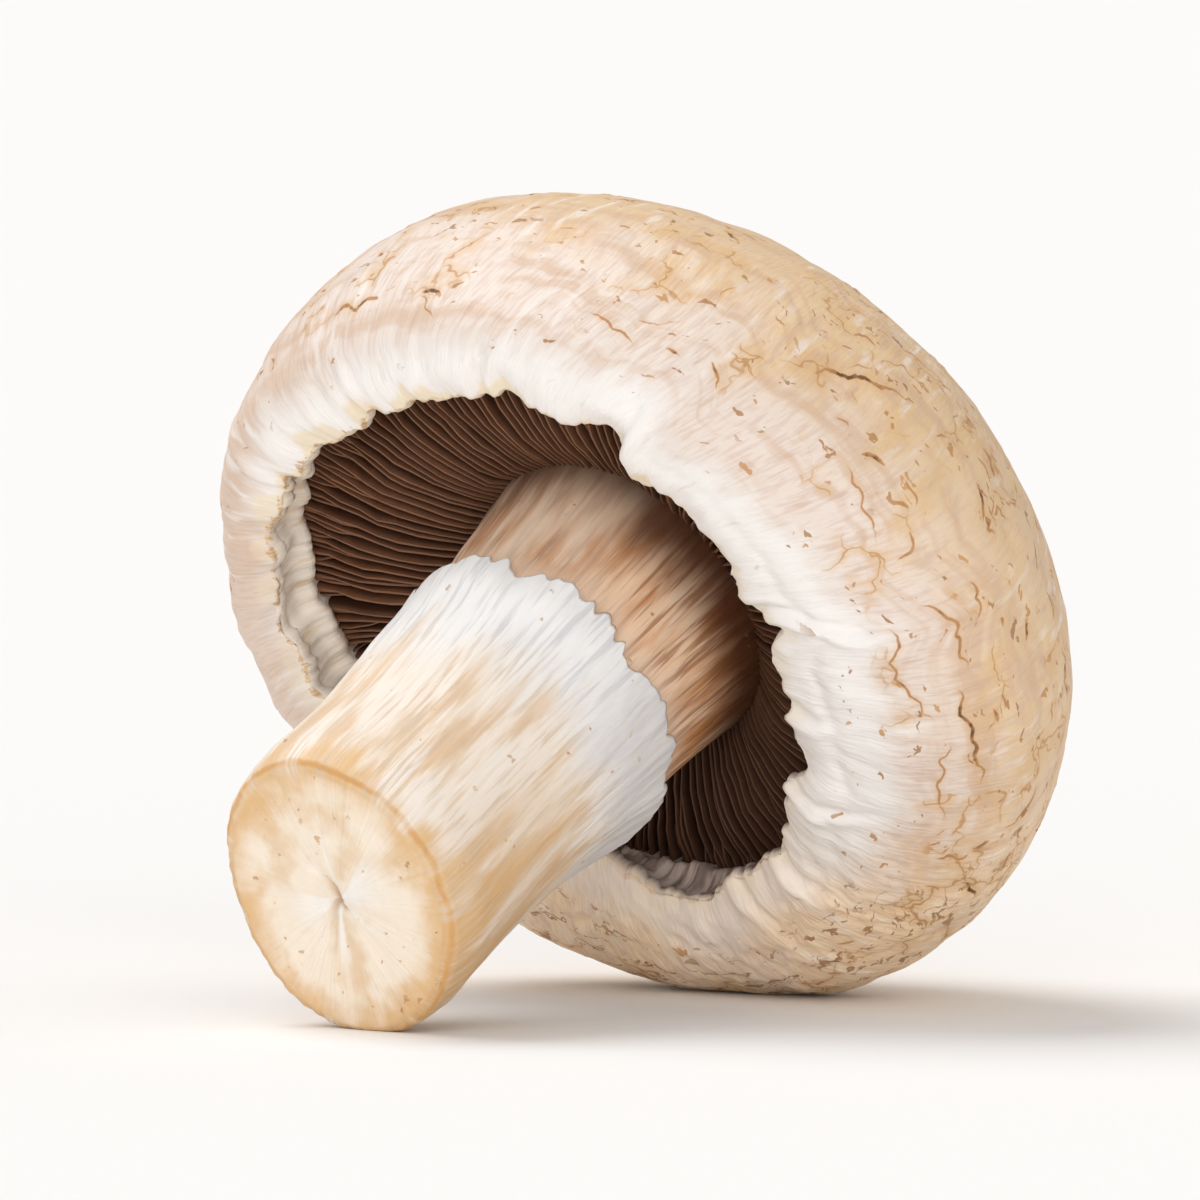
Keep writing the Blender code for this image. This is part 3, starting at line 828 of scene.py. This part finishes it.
stem_angles = 2 * np.pi * np.arange(STEM_COLUMNS) / STEM_COLUMNS
oval = 1 + waves(stem_angles, STEM_OVAL)
sleeve_edge = SLEEVE_EDGE + waves(stem_angles, SLEEVE_WAVES) - humps(stem_angles, SLEEVE_DROOP)
sleeve_edge += 0.42 * ring_noise(stem_angles, STEM_CIRCLE, 1.1, 21)
sleeve_edge += 0.30 * ring_noise(stem_angles, STEM_CIRCLE, 0.5, 22)
flare = 0.25 * ring_noise(stem_angles, STEM_CIRCLE, 3.0, 23) + humps(stem_angles, ((55, 0.45, 16),))
cut_edge = STEM_END + END_RADIUS * (CUT_SLOPE[0] * np.cos(stem_angles) + CUT_SLOPE[1] * np.sin(stem_angles))
ones = np.ones_like(stem_angles)

apex = (APEX_RADIUS * 0.98 * ones, STEM_TOP * ones)
sleeve_lip = (SLEEVE_RADIUS + flare, sleeve_edge - 0.25)
bevel_start = (END_RADIUS * oval + 0.12, cut_edge + 0.55)
cut_radius = END_RADIUS * oval - 0.5
stem_rings = [(APEX_RADIUS * 0.5 * ones, STEM_TOP * ones), apex]
stem_rings += smooth_run(
    [
        apex,
        (APEX_RADIUS * ones, -1.0 * ones),
        ((APEX_RADIUS - 0.45) * ones, -4.5 * ones),
        ((NECK_RADIUS + 0.05) * ones, sleeve_edge + 1.8),
        (NECK_RADIUS * ones, sleeve_edge - 0.5),
    ],
    48,
)
stem_rings += run_between(stem_rings[-1], (SLEEVE_RADIUS - 0.28 + flare, sleeve_edge - 0.02), 5)
stem_rings += run_between(stem_rings[-1], (SLEEVE_RADIUS - 0.08 + flare, sleeve_edge - 0.04), 2)
stem_rings += run_between(stem_rings[-1], sleeve_lip, 2)
sleeve_top_ring = len(stem_rings) - 1
stem_rings += smooth_run(
    [
        sleeve_lip,
        (SLEEVE_RADIUS - 0.12 + 0.4 * flare, sleeve_edge - 1.8),
        (SLEEVE_RADIUS * oval - 0.45, sleeve_edge - 4.6),
        (WAIST_RADIUS * oval, -21.5 * ones),
        (FOOT_RADIUS * oval - 0.1, cut_edge + 4.5),
        (FOOT_RADIUS * oval, cut_edge + 2.4),
        bevel_start,
    ],
    96,
)
bevel = [bevel_start, (END_RADIUS * oval - 0.1, cut_edge + 0.14), (cut_radius, cut_edge)]
stem_rings += smooth_run(bevel, 7)
side_rings = len(stem_rings)
for step in range(1, CUT_RINGS):
    share = 1 - (step / CUT_RINGS) ** 0.9
    stem_rings.append((cut_radius * share, STEM_END + (cut_edge - STEM_END) * share))

stem_profile = []
for radius, z in stem_rings:
    share = np.clip((LEAN_START - z) / (LEAN_START - STEM_END), 0, 1)
    x = STEM_TOP_SHIFT[0] + (STEM_END_SHIFT[0] - STEM_TOP_SHIFT[0]) * share
    y = STEM_TOP_SHIFT[1] + (STEM_END_SHIFT[1] - STEM_TOP_SHIFT[1]) * share
    stem_profile.append((radius, z, x, y))
stem_grid = polar_grid(stem_profile, stem_angles)

stem_angle = np.broadcast_to(stem_angles, stem_grid.shape[:2])
stem_z = stem_grid[..., 2]
fibre_x, fibre_y = FIBRE_CIRCLE * np.cos(stem_angle), FIBRE_CIRCLE * np.sin(stem_angle)
stem_way = np.stack([fibre_x, fibre_y, stem_z], axis=-1)
on_cut = np.zeros(stem_grid.shape[:2])
on_cut[side_rings:] = 1.0
off_axis = np.hypot(stem_grid[..., 0] - STEM_END_SHIFT[0], stem_grid[..., 1] - STEM_END_SHIFT[1])
below_edge = sleeve_edge[None, :] - stem_z
above = np.zeros(stem_grid.shape[:2])
above[:sleeve_top_ring - 6] = 1.0

# Each point's distance from the middle of the cut's bevelled rim, and less than nothing inside it
rim_ring = side_rings - 5
from_rim = np.linalg.norm(stem_grid - stem_grid[rim_ring], axis=-1)
from_rim[rim_ring:] *= -1

# Relief: long fibres down the sides, torn flecks on the sleeve, and a dished cut with a crease and spokes
stem_relief = (1 - on_cut) * 0.12 * rough(stem_grid * (1, 1, 0.5), 4.5, 24)
strands = rough(stem_way * (1, 1, 0.13), 0.75, 25)
stem_relief += (1 - on_cut) * (0.055 + 0.03 * above) * strands
stem_relief += (1 - on_cut) * 0.03 * rough(stem_way * (1, 1, 0.2), 0.35, 26)
lifted_strips = np.clip(rough(stem_way * (1, 1, 0.2), 1.4, 27) - 0.25, 0, 1)
stem_relief += (1 - on_cut) * (1 - above) * 0.22 * lifted_strips * bell(below_edge, 5.0)
spokes = ring_noise(stem_angles, 8, 1.6, 28)[None, :]
stem_relief += on_cut * 0.05 * spokes * bell(off_axis, 2.2, 3.0)
stem_relief += on_cut * (0.08 * rough(stem_grid, 2.2, 29) + 0.03 * rough(stem_grid, 0.7, 30))
crease_depth = np.zeros(stem_grid.shape[:2])
across_x = stem_grid[..., 0] - STEM_END_SHIFT[0]
across_y = stem_grid[..., 1] - STEM_END_SHIFT[1]
for way_x, way_y, length, width in CREASES:
    along = (across_x * way_x + across_y * way_y) / length
    off = across_x * way_y - across_y * way_x
    off += 0.12 * np.sin(5.0 * along)
    spread = width * (0.35 + np.clip(along, 0, 1))
    depth = bell(off, spread) * eased(1 - along) * eased((along + 0.15) / 0.15)
    crease_depth = np.maximum(crease_depth, depth)
crease_depth *= on_cut
stem_relief -= 0.5 * crease_depth + on_cut * 0.15 * bell(off_axis, 2.6)
stem_grid = stem_grid + grid_normals(stem_grid) * stem_relief[..., None]

stem = closed_mesh(
    "stem_skin",
    stem_grid,
    (*STEM_TOP_SHIFT, STEM_TOP),
    (*STEM_END_SHIFT, STEM_END + 0.45),
    {
        "own_place": stem_grid,
        "stem_way": stem_way,
        "below_edge": below_edge,
        "on_cut": on_cut,
        "above_sleeve": above,
        "off_axis": off_axis,
        "above_cut": np.where(on_cut > 0, 0.0, stem_z - cut_edge),
        "crease_depth": crease_depth,
        "from_rim": from_rim,
    },
)

SLEEVE_WHITE = (0.92, 0.915, 0.91)
STEM_CREAM = (0.90, 0.81, 0.715)
SOFT_STAIN = (0.78, 0.54, 0.32)
DEEP_STAIN = (0.66, 0.39, 0.17)
FOOT_OCHRE = (0.76, 0.48, 0.21)
FLANK_OCHRE = (0.70, 0.44, 0.21)
SLEEVE_SHADE_GREY = (0.66, 0.62, 0.60)
STRAND_GREY = (0.66, 0.66, 0.69)
STRAND_TAN = (0.70, 0.55, 0.40)
SLEEVE_EDGE_TAN = (0.66, 0.45, 0.28)
APEX_TAN = (0.98, 0.68, 0.46)
APEX_BROWN = (0.66, 0.29, 0.11)
APEX_STREAK = (0.38, 0.145, 0.055)
APEX_PALE = (0.90, 0.72, 0.56)
APEX_SHADE_DARK = (0.11, 0.036, 0.014)
APEX_CREAM_AND_LIGHT = (0.98, 0.77, 0.59)
CUT_CREAM = (0.94, 0.83, 0.69)
CUT_TAN = (0.78, 0.54, 0.31)
WEDGE_WHITE = (0.97, 0.945, 0.90)
RAY_TAN = (0.76, 0.55, 0.34)
CUT_OCHRE = (0.76, 0.48, 0.22)
CREASE_SHADE_TAN = (0.66, 0.44, 0.24)
RIM_BROWN = (0.66, 0.36, 0.13)
SPECK_DARK = (0.40, 0.18, 0.06)
SPECK_TAN = (0.72, 0.45, 0.20)

stem_material, tree, surface = flesh_material("stem_skin", 0.55)
place = kept(tree, "own_place", vector=True)
around = kept(tree, "stem_way", vector=True)
below = kept(tree, "below_edge")
_, groundward, height_z = node(tree, "ShaderNodeSeparateXYZ", {0: around}).outputs
low_flank = ramp(tree, groundward, -6.0, 2.0)

# Sleeve white, then cream with long soft ochre stains that deepen towards the cut and on the low flank
long_grain = grain(tree, around, (1.0, 1.0, 0.07), 0.26, 2.0)
cloud = grain(tree, around, (1.0, 1.0, 0.35), 3.0, 3.0)
downward = nudged(tree, below, 9.0, cloud)
colour = blend(tree, ramp(tree, downward, 3.5, 10.0), SLEEVE_WHITE, STEM_CREAM)
stains = grain(tree, around, (1.0, 1.0, 0.22), 2.0, 5.0)
stains = nudged(tree, stains, -0.12, long_grain)
stain_share = times(tree, ramp(tree, downward, 3.0, 11.0), ramp(tree, low_flank, 0.0, 1.0, 0.6, 1.0))
soft_stain = times(tree, ramp(tree, stains, 0.44, 0.60, 0.0, 0.9), stain_share)
colour = blend(tree, soft_stain, colour, SOFT_STAIN)
deep_stain = times(tree, ramp(tree, stains, 0.52, 0.66, 0.0, 0.75), stain_share)
colour = blend(tree, deep_stain, colour, DEEP_STAIN)
above_cut = kept(tree, "above_cut")
foot_way = nudged(tree, above_cut, -9.0, stains)
colour = blend(tree, ramp(tree, foot_way, 2.2, 0.0, 0.0, 0.75), colour, FOOT_OCHRE)
flank_share = times(tree, ramp(tree, groundward, -4.5, 0.5), ramp(tree, above_cut, 16.0, 5.0))
flank_share = times(tree, flank_share, ramp(tree, stains, 0.30, 0.50, 0.25, 0.95))
colour = blend(tree, flank_share, colour, FLANK_OCHRE)
# Painted shade: the sleeve's low flank, just below its edge, is greyed as if in shadow.
sleeve_shade_share = ramp(tree, downward, 9.0, 4.0, 0.0, 0.65)
sleeve_shade_share = times(tree, ramp(tree, groundward, -5.0, 1.5), sleeve_shade_share)
colour = blend(tree, sleeve_shade_share, colour, SLEEVE_SHADE_GREY)
strand_shade = times(tree, ramp(tree, long_grain, 0.54, 0.34), ramp(tree, cloud, 0.35, 0.6, 0.3, 0.8))
strand_tone = blend(tree, ramp(tree, downward, 4.0, 9.0), STRAND_GREY, STRAND_TAN)
colour = blend(tree, strand_shade, colour, strand_tone)
edge_share = ramp(tree, cloud, 0.40, 0.56, 0.15, 0.8)
edge_line = times(tree, ramp(tree, sums(tree, "ABSOLUTE", below), 0.34, 0.04), edge_share)
colour = blend(tree, edge_line, colour, SLEEVE_EDGE_TAN)

# Above the sleeve: fine brown and pale streaks, pale against the sleeve and, as painted shade, nearly black
# against the gills; the upper side is lightened with painted light
tall = grain(tree, around, (1.0, 1.0, 0.22), 2.4, 3.0)
brown = blend(tree, ramp(tree, tall, 0.38, 0.58), APEX_TAN, APEX_BROWN)
fine_streaks = grain(tree, around, (1.0, 1.0, 0.05), 0.30, 3.0)
brown = blend(tree, ramp(tree, fine_streaks, 0.46, 0.62, 0.0, 0.72), brown, APEX_STREAK)
brown = blend(tree, ramp(tree, long_grain, 0.56, 0.70, 0.0, 0.65), brown, APEX_PALE)
# Painted shade: nearly black where the stem top runs in under the gills, reaching less far on the upper
# side.
gill_way = plus(tree, height_z, -1.0, ramp(tree, groundward, -5.0, -8.2))
near_gills_shade = ramp(tree, plus(tree, gill_way, 5.0, tall), -4.6, 0.2, 0.0, 0.94)
brown = blend(tree, near_gills_shade, brown, APEX_SHADE_DARK)
near_sleeve = ramp(tree, plus(tree, below, 5.0, tall), -0.8, 2.6, 0.0, 0.7)
# Painted light: the upper side, away from the gills, lightened towards cream.
upper_side_light = ramp(tree, groundward, -5.0, -8.2, 0.0, 0.85)
upper_side_light = times(tree, upper_side_light, ramp(tree, tall, 0.64, 0.44, 0.3, 1.0))
upper_side_light = times(tree, upper_side_light, ramp(tree, height_z, -1.0, -6.5, 0.25, 1.0))
brown = blend(tree, larger(tree, near_sleeve, upper_side_light), brown, APEX_CREAM_AND_LIGHT)
colour = blend(tree, kept(tree, "above_sleeve"), colour, brown)

# Knife cut: cream with soft tan clouds, a few white wedges out from the crease, painted tan shade in the
# crease, tan to brown at its rim
axis_way = kept(tree, "off_axis")
face_cloud = grain(tree, place, (1, 1, 1), 2.6, 4.0)
face = blend(tree, ramp(tree, face_cloud, 0.42, 0.70, 0.0, 0.65), CUT_CREAM, CUT_TAN)
spoke_bend = times(tree, face_cloud, 3.0)
spoke_place = vector_sums(tree, "ADD", around, spoke_bend)
spoke = grain(tree, spoke_place, (1.0, 1.0, 0.0), 7.0, 4.0)
wedge_reach = plus(tree, axis_way, -4.0, face_cloud)
wedge = times(tree, ramp(tree, spoke, 0.48, 0.62), ramp(tree, wedge_reach, 3.5, -1.0, 0.0, 0.9))
face = blend(tree, wedge, face, WEDGE_WHITE)
thin_spokes = grain(tree, around, (1.0, 1.0, 0.0), 0.55, 2.0)
ray_reach = ramp(tree, times(tree, axis_way, face_cloud), 2.0, 4.0)
ray = times(tree, ramp(tree, thin_spokes, 0.48, 0.68, 0.0, 0.6), ray_reach)
face = blend(tree, ray, face, RAY_TAN)
rim_way = plus(tree, axis_way, 4.2, face_cloud)
face = blend(tree, ramp(tree, rim_way, 7.0, 10.4, 0.0, 0.9), face, CUT_OCHRE)
# Painted shade: tan down the crease, strongest where it is deepest.
face = blend(tree, ramp(tree, kept(tree, "crease_depth"), 0.1, 0.9, 0.0, 0.75), face, CREASE_SHADE_TAN)
colour = blend(tree, kept(tree, "on_cut"), colour, face)
rim_patch = ramp(tree, stains, 0.36, 0.56, 0.35, 0.95)
rim_off = nudged(tree, kept(tree, "from_rim"), 1.1, face_cloud)
rim_share = times(tree, ramp(tree, sums(tree, "ABSOLUTE", rim_off), 0.30, 0.04), rim_patch)
colour = blend(tree, rim_share, colour, RIM_BROWN)

# A few brown flecks on the sides and more on the cut
fleck_way, draw_often, draw_size, draw_tone = fleck_cells(tree, wobbly(tree, place, 2.2, 0.9))
fleck_size = nudged(tree, ramp(tree, draw_size, 0.0, 1.0, 0.04, 0.17), 0.12, long_grain)
fleck = ramp(tree, sums(tree, "SUBTRACT", fleck_way, fleck_size), 0.07, -0.05, 0.0, 0.75)
often = plus(tree, draw_often, times(tree, face_cloud, 0.9), kept(tree, "on_cut"))
fleck = times(tree, fleck, ramp(tree, often, 0.80, 0.88))
colour = blend(tree, fleck, colour, blend(tree, draw_tone, SPECK_DARK, SPECK_TAN))
tree.links.new(colour, surface.inputs["Base Color"])

bump = node(tree, "ShaderNodeBump", {"Height": long_grain, "Strength": 0.45, "Distance": 0.00018})
tree.links.new(bump.outputs[0], surface.inputs["Normal"])

stem.data.materials.append(stem_material)
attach(stem, "root")
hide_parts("stem")

# Gills
# Thin dark brown blades that hang side by side from the flesh of the cap, from the stem out to the margin.
# Every other one is short. Geometry nodes set one blade round the stem again and again and then warp them.

GILL_COUNT = 264
GILL_ROOT = 2.4
GILL_START = 9.1
GILL_END = HOLLOW_RADIUS + 0.9
GILL_THICKNESS = 0.19
GILL_DEPTH = 6.1
GILL_SWAY = 0.21
GILL_SEED = 4
GILL_ENDS = ((0.0, 0.60), (1.0, 1.0))
GILL_SHAPE = ((0.12, 0.74), (0.35, 0.92), (0.62, 1.0), (0.88, 0.98))


def xyz(tree, *parts):
    """A vector from its three parts."""
    return node(tree, "ShaderNodeCombineXYZ", dict(enumerate(parts))).outputs[0]


def drawn(tree, low, high, seed, **which):
    """A random value for each point or copy, between two."""
    inputs = {"Min": low, "Max": high, "Seed": seed, **which}
    return node(tree, "FunctionNodeRandomValue", inputs, data_type="FLOAT").outputs[1]


def storing(tree, geometry, name, value, domain):
    """The geometry with a value stored on it under this name."""
    inputs = {"Geometry": geometry, "Name": name, "Value": value}
    settings = {"data_type": "FLOAT", "domain": domain}
    return node(tree, "GeometryNodeStoreNamedAttribute", inputs, **settings).outputs[0]


def put_at(tree, geometry, place):
    """The geometry with its points at these places."""
    return node(tree, "GeometryNodeSetPosition", {"Geometry": geometry, "Position": place}).outputs[0]


def sway(tree, here, scale, reach):
    """A slow push to and fro for each spot, each part of it up to half of its reach."""
    push = vector_sums(tree, "SUBTRACT", swirl(tree, here, scale, 1.0), (0.5, 0.5, 0.5))
    return vector_sums(tree, "MULTIPLY", push, reach)


def gill_tree():
    """The node tree that makes the blades."""
    tree, given, result = sized_tree(
        "gills",
        (
            ("Count", "NodeSocketInt", GILL_COUNT),
            ("Stem radius", "NodeSocketFloat", GILL_START),
            ("Wall radius", "NodeSocketFloat", GILL_END),
            ("Thickness", "NodeSocketFloat", GILL_THICKNESS),
            ("Depth", "NodeSocketFloat", GILL_DEPTH),
            ("Sway", "NodeSocketFloat", GILL_SWAY),
            ("Seed", "NodeSocketInt", GILL_SEED),
        ),
    )

    # One blade: a thin box, 1 long, whose lower edge hangs lowest towards the margin
    box_size = {"Size": (1, 1, 1), "Vertices X": 11, "Vertices Y": 2, "Vertices Z": 4}
    box = node(tree, "GeometryNodeMeshCube", box_size).outputs["Mesh"]
    spot = node(tree, "ShaderNodeSeparateXYZ", {0: node(tree, "GeometryNodeInputPosition").outputs[0]})
    out_share = sums(tree, "ADD", spot.outputs[0], 0.5)
    down_share = sums(tree, "SUBTRACT", 0.5, spot.outputs[2])
    edge = node(tree, "ShaderNodeFloatCurve", {"Value": out_share})
    shape = edge.mapping.curves[0]
    for x, y in GILL_SHAPE:
        shape.points.new(x, y)
    shape.points[0].location, shape.points[-1].location = GILL_ENDS
    edge.mapping.update()
    hang = times(tree, times(tree, edge.outputs[0], given["Depth"]), down_share)
    taper = sums(tree, "SUBTRACT", 1.25, times(tree, down_share, 0.6))
    thicker_end = ramp(tree, out_share, 0.82, 1.0, 1.0, 3.2)
    half = times(tree, times(tree, spot.outputs[1], given["Thickness"]), times(tree, taper, thicker_end))
    marked = storing(tree, box, "gill_edge", down_share, "POINT")
    blade = put_at(tree, marked, xyz(tree, out_share, half, times(tree, hang, -1.0)))

    # A ring of points on the stem, each turned towards its own place on the hollow's wall
    points = node(tree, "GeometryNodeMeshLine", {"Count": given["Count"], "Offset": (0, 0, 0)}).outputs[0]
    index = node(tree, "GeometryNodeInputIndex").outputs[0]
    jitter = drawn(tree, -0.3, 0.3, given["Seed"], ID=index)
    turn = sums(tree, "DIVIDE", sums(tree, "ADD", index, jitter), given["Count"])
    angle = times(tree, turn, 2 * math.pi)
    cosine, sine = sums(tree, "COSINE", angle), sums(tree, "SINE", angle)
    wall = given["Wall radius"]
    for count, size, phase in MOUTH_LOBES:
        wave = sums(tree, "SINE", plus(tree, phase, float(count), angle))
        wall = plus(tree, wall, WALL_FOLLOWS * size, wave)
    start_x = plus(tree, STEM_TOP_SHIFT[0], given["Stem radius"], cosine)
    start_y = plus(tree, STEM_TOP_SHIFT[1], given["Stem radius"], sine)
    end_x = plus(tree, MOUTH_CENTRE[0], wall, cosine)
    end_y = plus(tree, MOUTH_CENTRE[1], wall, sine)
    long_x, long_y = sums(tree, "SUBTRACT", end_x, start_x), sums(tree, "SUBTRACT", end_y, start_y)
    squares = sums(tree, "POWER", long_x, 2.0), sums(tree, "POWER", long_y, 2.0)
    length = sums(tree, "SQRT", sums(tree, "ADD", *squares))

    # Every other blade is short: it starts part of the way out and hangs a little less
    odd = sums(tree, "MODULO", index, 2.0)
    start_share = drawn(tree, 0.06, 0.8, sums(tree, "ADD", given["Seed"], 1), ID=index)
    skipped = times(tree, odd, start_share)
    first_x, first_y = plus(tree, start_x, skipped, long_x), plus(tree, start_y, skipped, long_y)
    placed = put_at(tree, points, xyz(tree, first_x, first_y, GILL_ROOT))
    heading = xyz(tree, 0.0, 0.0, sums(tree, "ARCTAN2", long_y, long_x))
    hang_jitter = drawn(tree, 0.97, 1.02, sums(tree, "ADD", given["Seed"], 2), ID=index)
    hang_scale = times(tree, hang_jitter, sums(tree, "SUBTRACT", 1.0, times(tree, odd, 0.02)))
    blade_length = times(tree, length, sums(tree, "SUBTRACT", 1.0, skipped))
    copies = node(
        tree,
        "GeometryNodeInstanceOnPoints",
        {
            "Points": placed,
            "Instance": blade,
            "Rotation": node(tree, "FunctionNodeEulerToRotation", {0: heading}).outputs[0],
            "Scale": xyz(tree, blade_length, 1.0, hang_scale),
        },
    ).outputs[0]
    tone = drawn(tree, 0.0, 1.0, sums(tree, "ADD", given["Seed"], 3))
    toned = storing(tree, copies, "gill_tone", tone, "INSTANCE")
    real = node(tree, "GeometryNodeRealizeInstances", {"Geometry": toned}).outputs[0]

    # Slow and quick sway, so that no two blades are alike, more at the free edge than at the root
    here = node(tree, "GeometryNodeInputPosition").outputs[0]
    loose = stored(tree, "gill_edge")
    slow = sway(tree, here, 0.30, (4.0, 4.0, 1.2))
    quick = sway(tree, here, 0.9, (1.6, 1.6, 0.8))
    both = vector_sums(tree, "ADD", slow, quick)
    much = times(tree, plus(tree, 0.2, 0.8, loose), given["Sway"])
    dressed_end(tree, pushed(tree, real, both, much), given["Material"], result)
    return tree


GILL_DARK = (0.080, 0.029, 0.013)
GILL_BROWN = (0.175, 0.070, 0.033)
GILL_DUST = (0.085, 0.036, 0.018)
GILL_ROOT_SHADE = (0.018, 0.008, 0.005)
GILL_EDGE_HIGHLIGHT = (0.29, 0.14, 0.075)
GILL_LOW_SHADE = (0.035, 0.015, 0.009)

gill_material, tree, surface = flesh_material("gills", 0.7)
free_edge = kept(tree, "gill_edge")
tone = kept(tree, "gill_tone")
coordinates = node(tree, "ShaderNodeTexCoord").outputs["Object"]
height_up = node(tree, "ShaderNodeSeparateXYZ", {0: coordinates}).outputs[2]
dust = node(tree, "ShaderNodeTexNoise", {"Vector": coordinates, "Scale": 900.0, "Detail": 3.0}).outputs[0]
gill_brown = blend(tree, tone, GILL_DARK, GILL_BROWN)
gill_brown = blend(tree, ramp(tree, dust, 0.4, 0.7, 0.0, 0.5), gill_brown, GILL_DUST)
# Painted shade: the blades go nearly black towards their roots, deep between them.
root_shade = ramp(tree, free_edge, 0.45, 0.97)
gill_brown = blend(tree, root_shade, GILL_ROOT_SHADE, gill_brown)
# Painted highlight: a lighter tan along each blade's free edge.
gill_brown = blend(tree, ramp(tree, free_edge, 0.92, 1.0, 0.0, 0.55), gill_brown, GILL_EDGE_HIGHLIGHT)
# Painted shade: the blades darker low down, towards the floor.
gill_brown = blend(tree, ramp(tree, height_up, 0.024, 0.012, 0.0, 0.6), gill_brown, GILL_LOW_SHADE)
tree.links.new(gill_brown, surface.inputs["Base Color"])
bump = node(tree, "ShaderNodeBump", {"Height": dust, "Strength": 0.25, "Distance": 0.0001})
tree.links.new(bump.outputs[0], surface.inputs["Normal"])

gills = bpy.data.objects.new("gill_blades", bpy.data.meshes.new("gill_blades"))
bpy.context.scene.collection.objects.link(gills)
gills = made_by_nodes(gills, gill_tree(), gill_material)
gills.data.transform(LAID_DOWN @ Matrix.Scale(MILLIMETRE, 4))
gills.data.shade_flat()
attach(gills, "root")
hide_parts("gills")

# Floor, light and camera
# A seamless pale floor, a wide soft light from above, a little behind the mushroom and to its left, a wider
# one from beside the camera, and an even pale surround. The camera stands low and looks at the mushroom from
# the stem's side, as in the photograph.

FLOOR_HALF = 6
FLOOR_WHITE = (0.93, 0.925, 0.92, 1.0)
STUDIO_WHITE = (1.0, 0.978, 0.96, 1.0)
STUDIO_STRENGTH = 0.56
LAMP_WHITE = (1.0, 0.997, 0.992)

floor_mesh = bpy.data.meshes.new("floor")
floor_corners = [(x * FLOOR_HALF, y * FLOOR_HALF, 0) for x, y in ((-1, -1), (1, -1), (1, 1), (-1, 1))]
floor_mesh.from_pydata(floor_corners, [], [(0, 1, 2, 3)])
floor = bpy.data.objects.new("floor", floor_mesh)
bpy.context.scene.collection.objects.link(floor)
floor_material = bpy.data.materials.new("floor")
floor_material.use_nodes = True
floor_surface = floor_material.node_tree.nodes["Principled BSDF"]
floor_surface.inputs["Base Color"].default_value = FLOOR_WHITE
floor_surface.inputs["Roughness"].default_value = 0.9
floor_surface.inputs["Specular IOR Level"].default_value = 0.1
floor_mesh.materials.append(floor_material)

world = bpy.data.worlds.new("studio")
bpy.context.scene.world = world
world.use_nodes = True
surround = world.node_tree.nodes["Background"].inputs
surround["Color"].default_value = STUDIO_WHITE
surround["Strength"].default_value = STUDIO_STRENGTH

CAMERA_TURN = math.radians(39.5)
CAMERA_RISE = math.radians(4.0)
CAMERA_DISTANCE = 2.0
VIEW_WIDTH = 0.068
SENSOR_WIDTH = 36.0
LOOK_AT = Vector((0.0005, 0.0, 0.0232))
back = Vector((
    math.sin(CAMERA_TURN) * math.cos(CAMERA_RISE),
    -math.cos(CAMERA_TURN) * math.cos(CAMERA_RISE),
    math.sin(CAMERA_RISE),
))
right = Vector((math.cos(CAMERA_TURN), math.sin(CAMERA_TURN), 0.0))
up = Vector((0.0, 0.0, 1.0))


def sun(name, energy, spread, way):
    """A soft light from far off on the side that way points to."""
    light = bpy.data.lights.new(name, "SUN")
    light.energy = energy
    light.angle = math.radians(spread)
    light.color = LAMP_WHITE
    holder = bpy.data.objects.new(name, light)
    bpy.context.scene.collection.objects.link(holder)
    holder.rotation_euler = (-way).to_track_quat("-Z", "Y").to_euler()


sun("key", energy=1.55, spread=40, way=back * -0.35 - right * 0.50 + up)
sun("fill", energy=1.42, spread=60, way=back + right * 0.05 + up * 0.08)

lens = bpy.data.cameras.new("camera")
camera = bpy.data.objects.new("camera", lens)
bpy.context.scene.collection.objects.link(camera)
lens.sensor_width = SENSOR_WIDTH
lens.lens = SENSOR_WIDTH * CAMERA_DISTANCE / VIEW_WIDTH
lens.clip_start = 0.01
camera.location = LOOK_AT + back * CAMERA_DISTANCE
camera.rotation_euler = (-back).to_track_quat("-Z", "Y").to_euler()
bpy.context.scene.camera = camera
bpy.context.scene.view_settings.view_transform = "Standard"
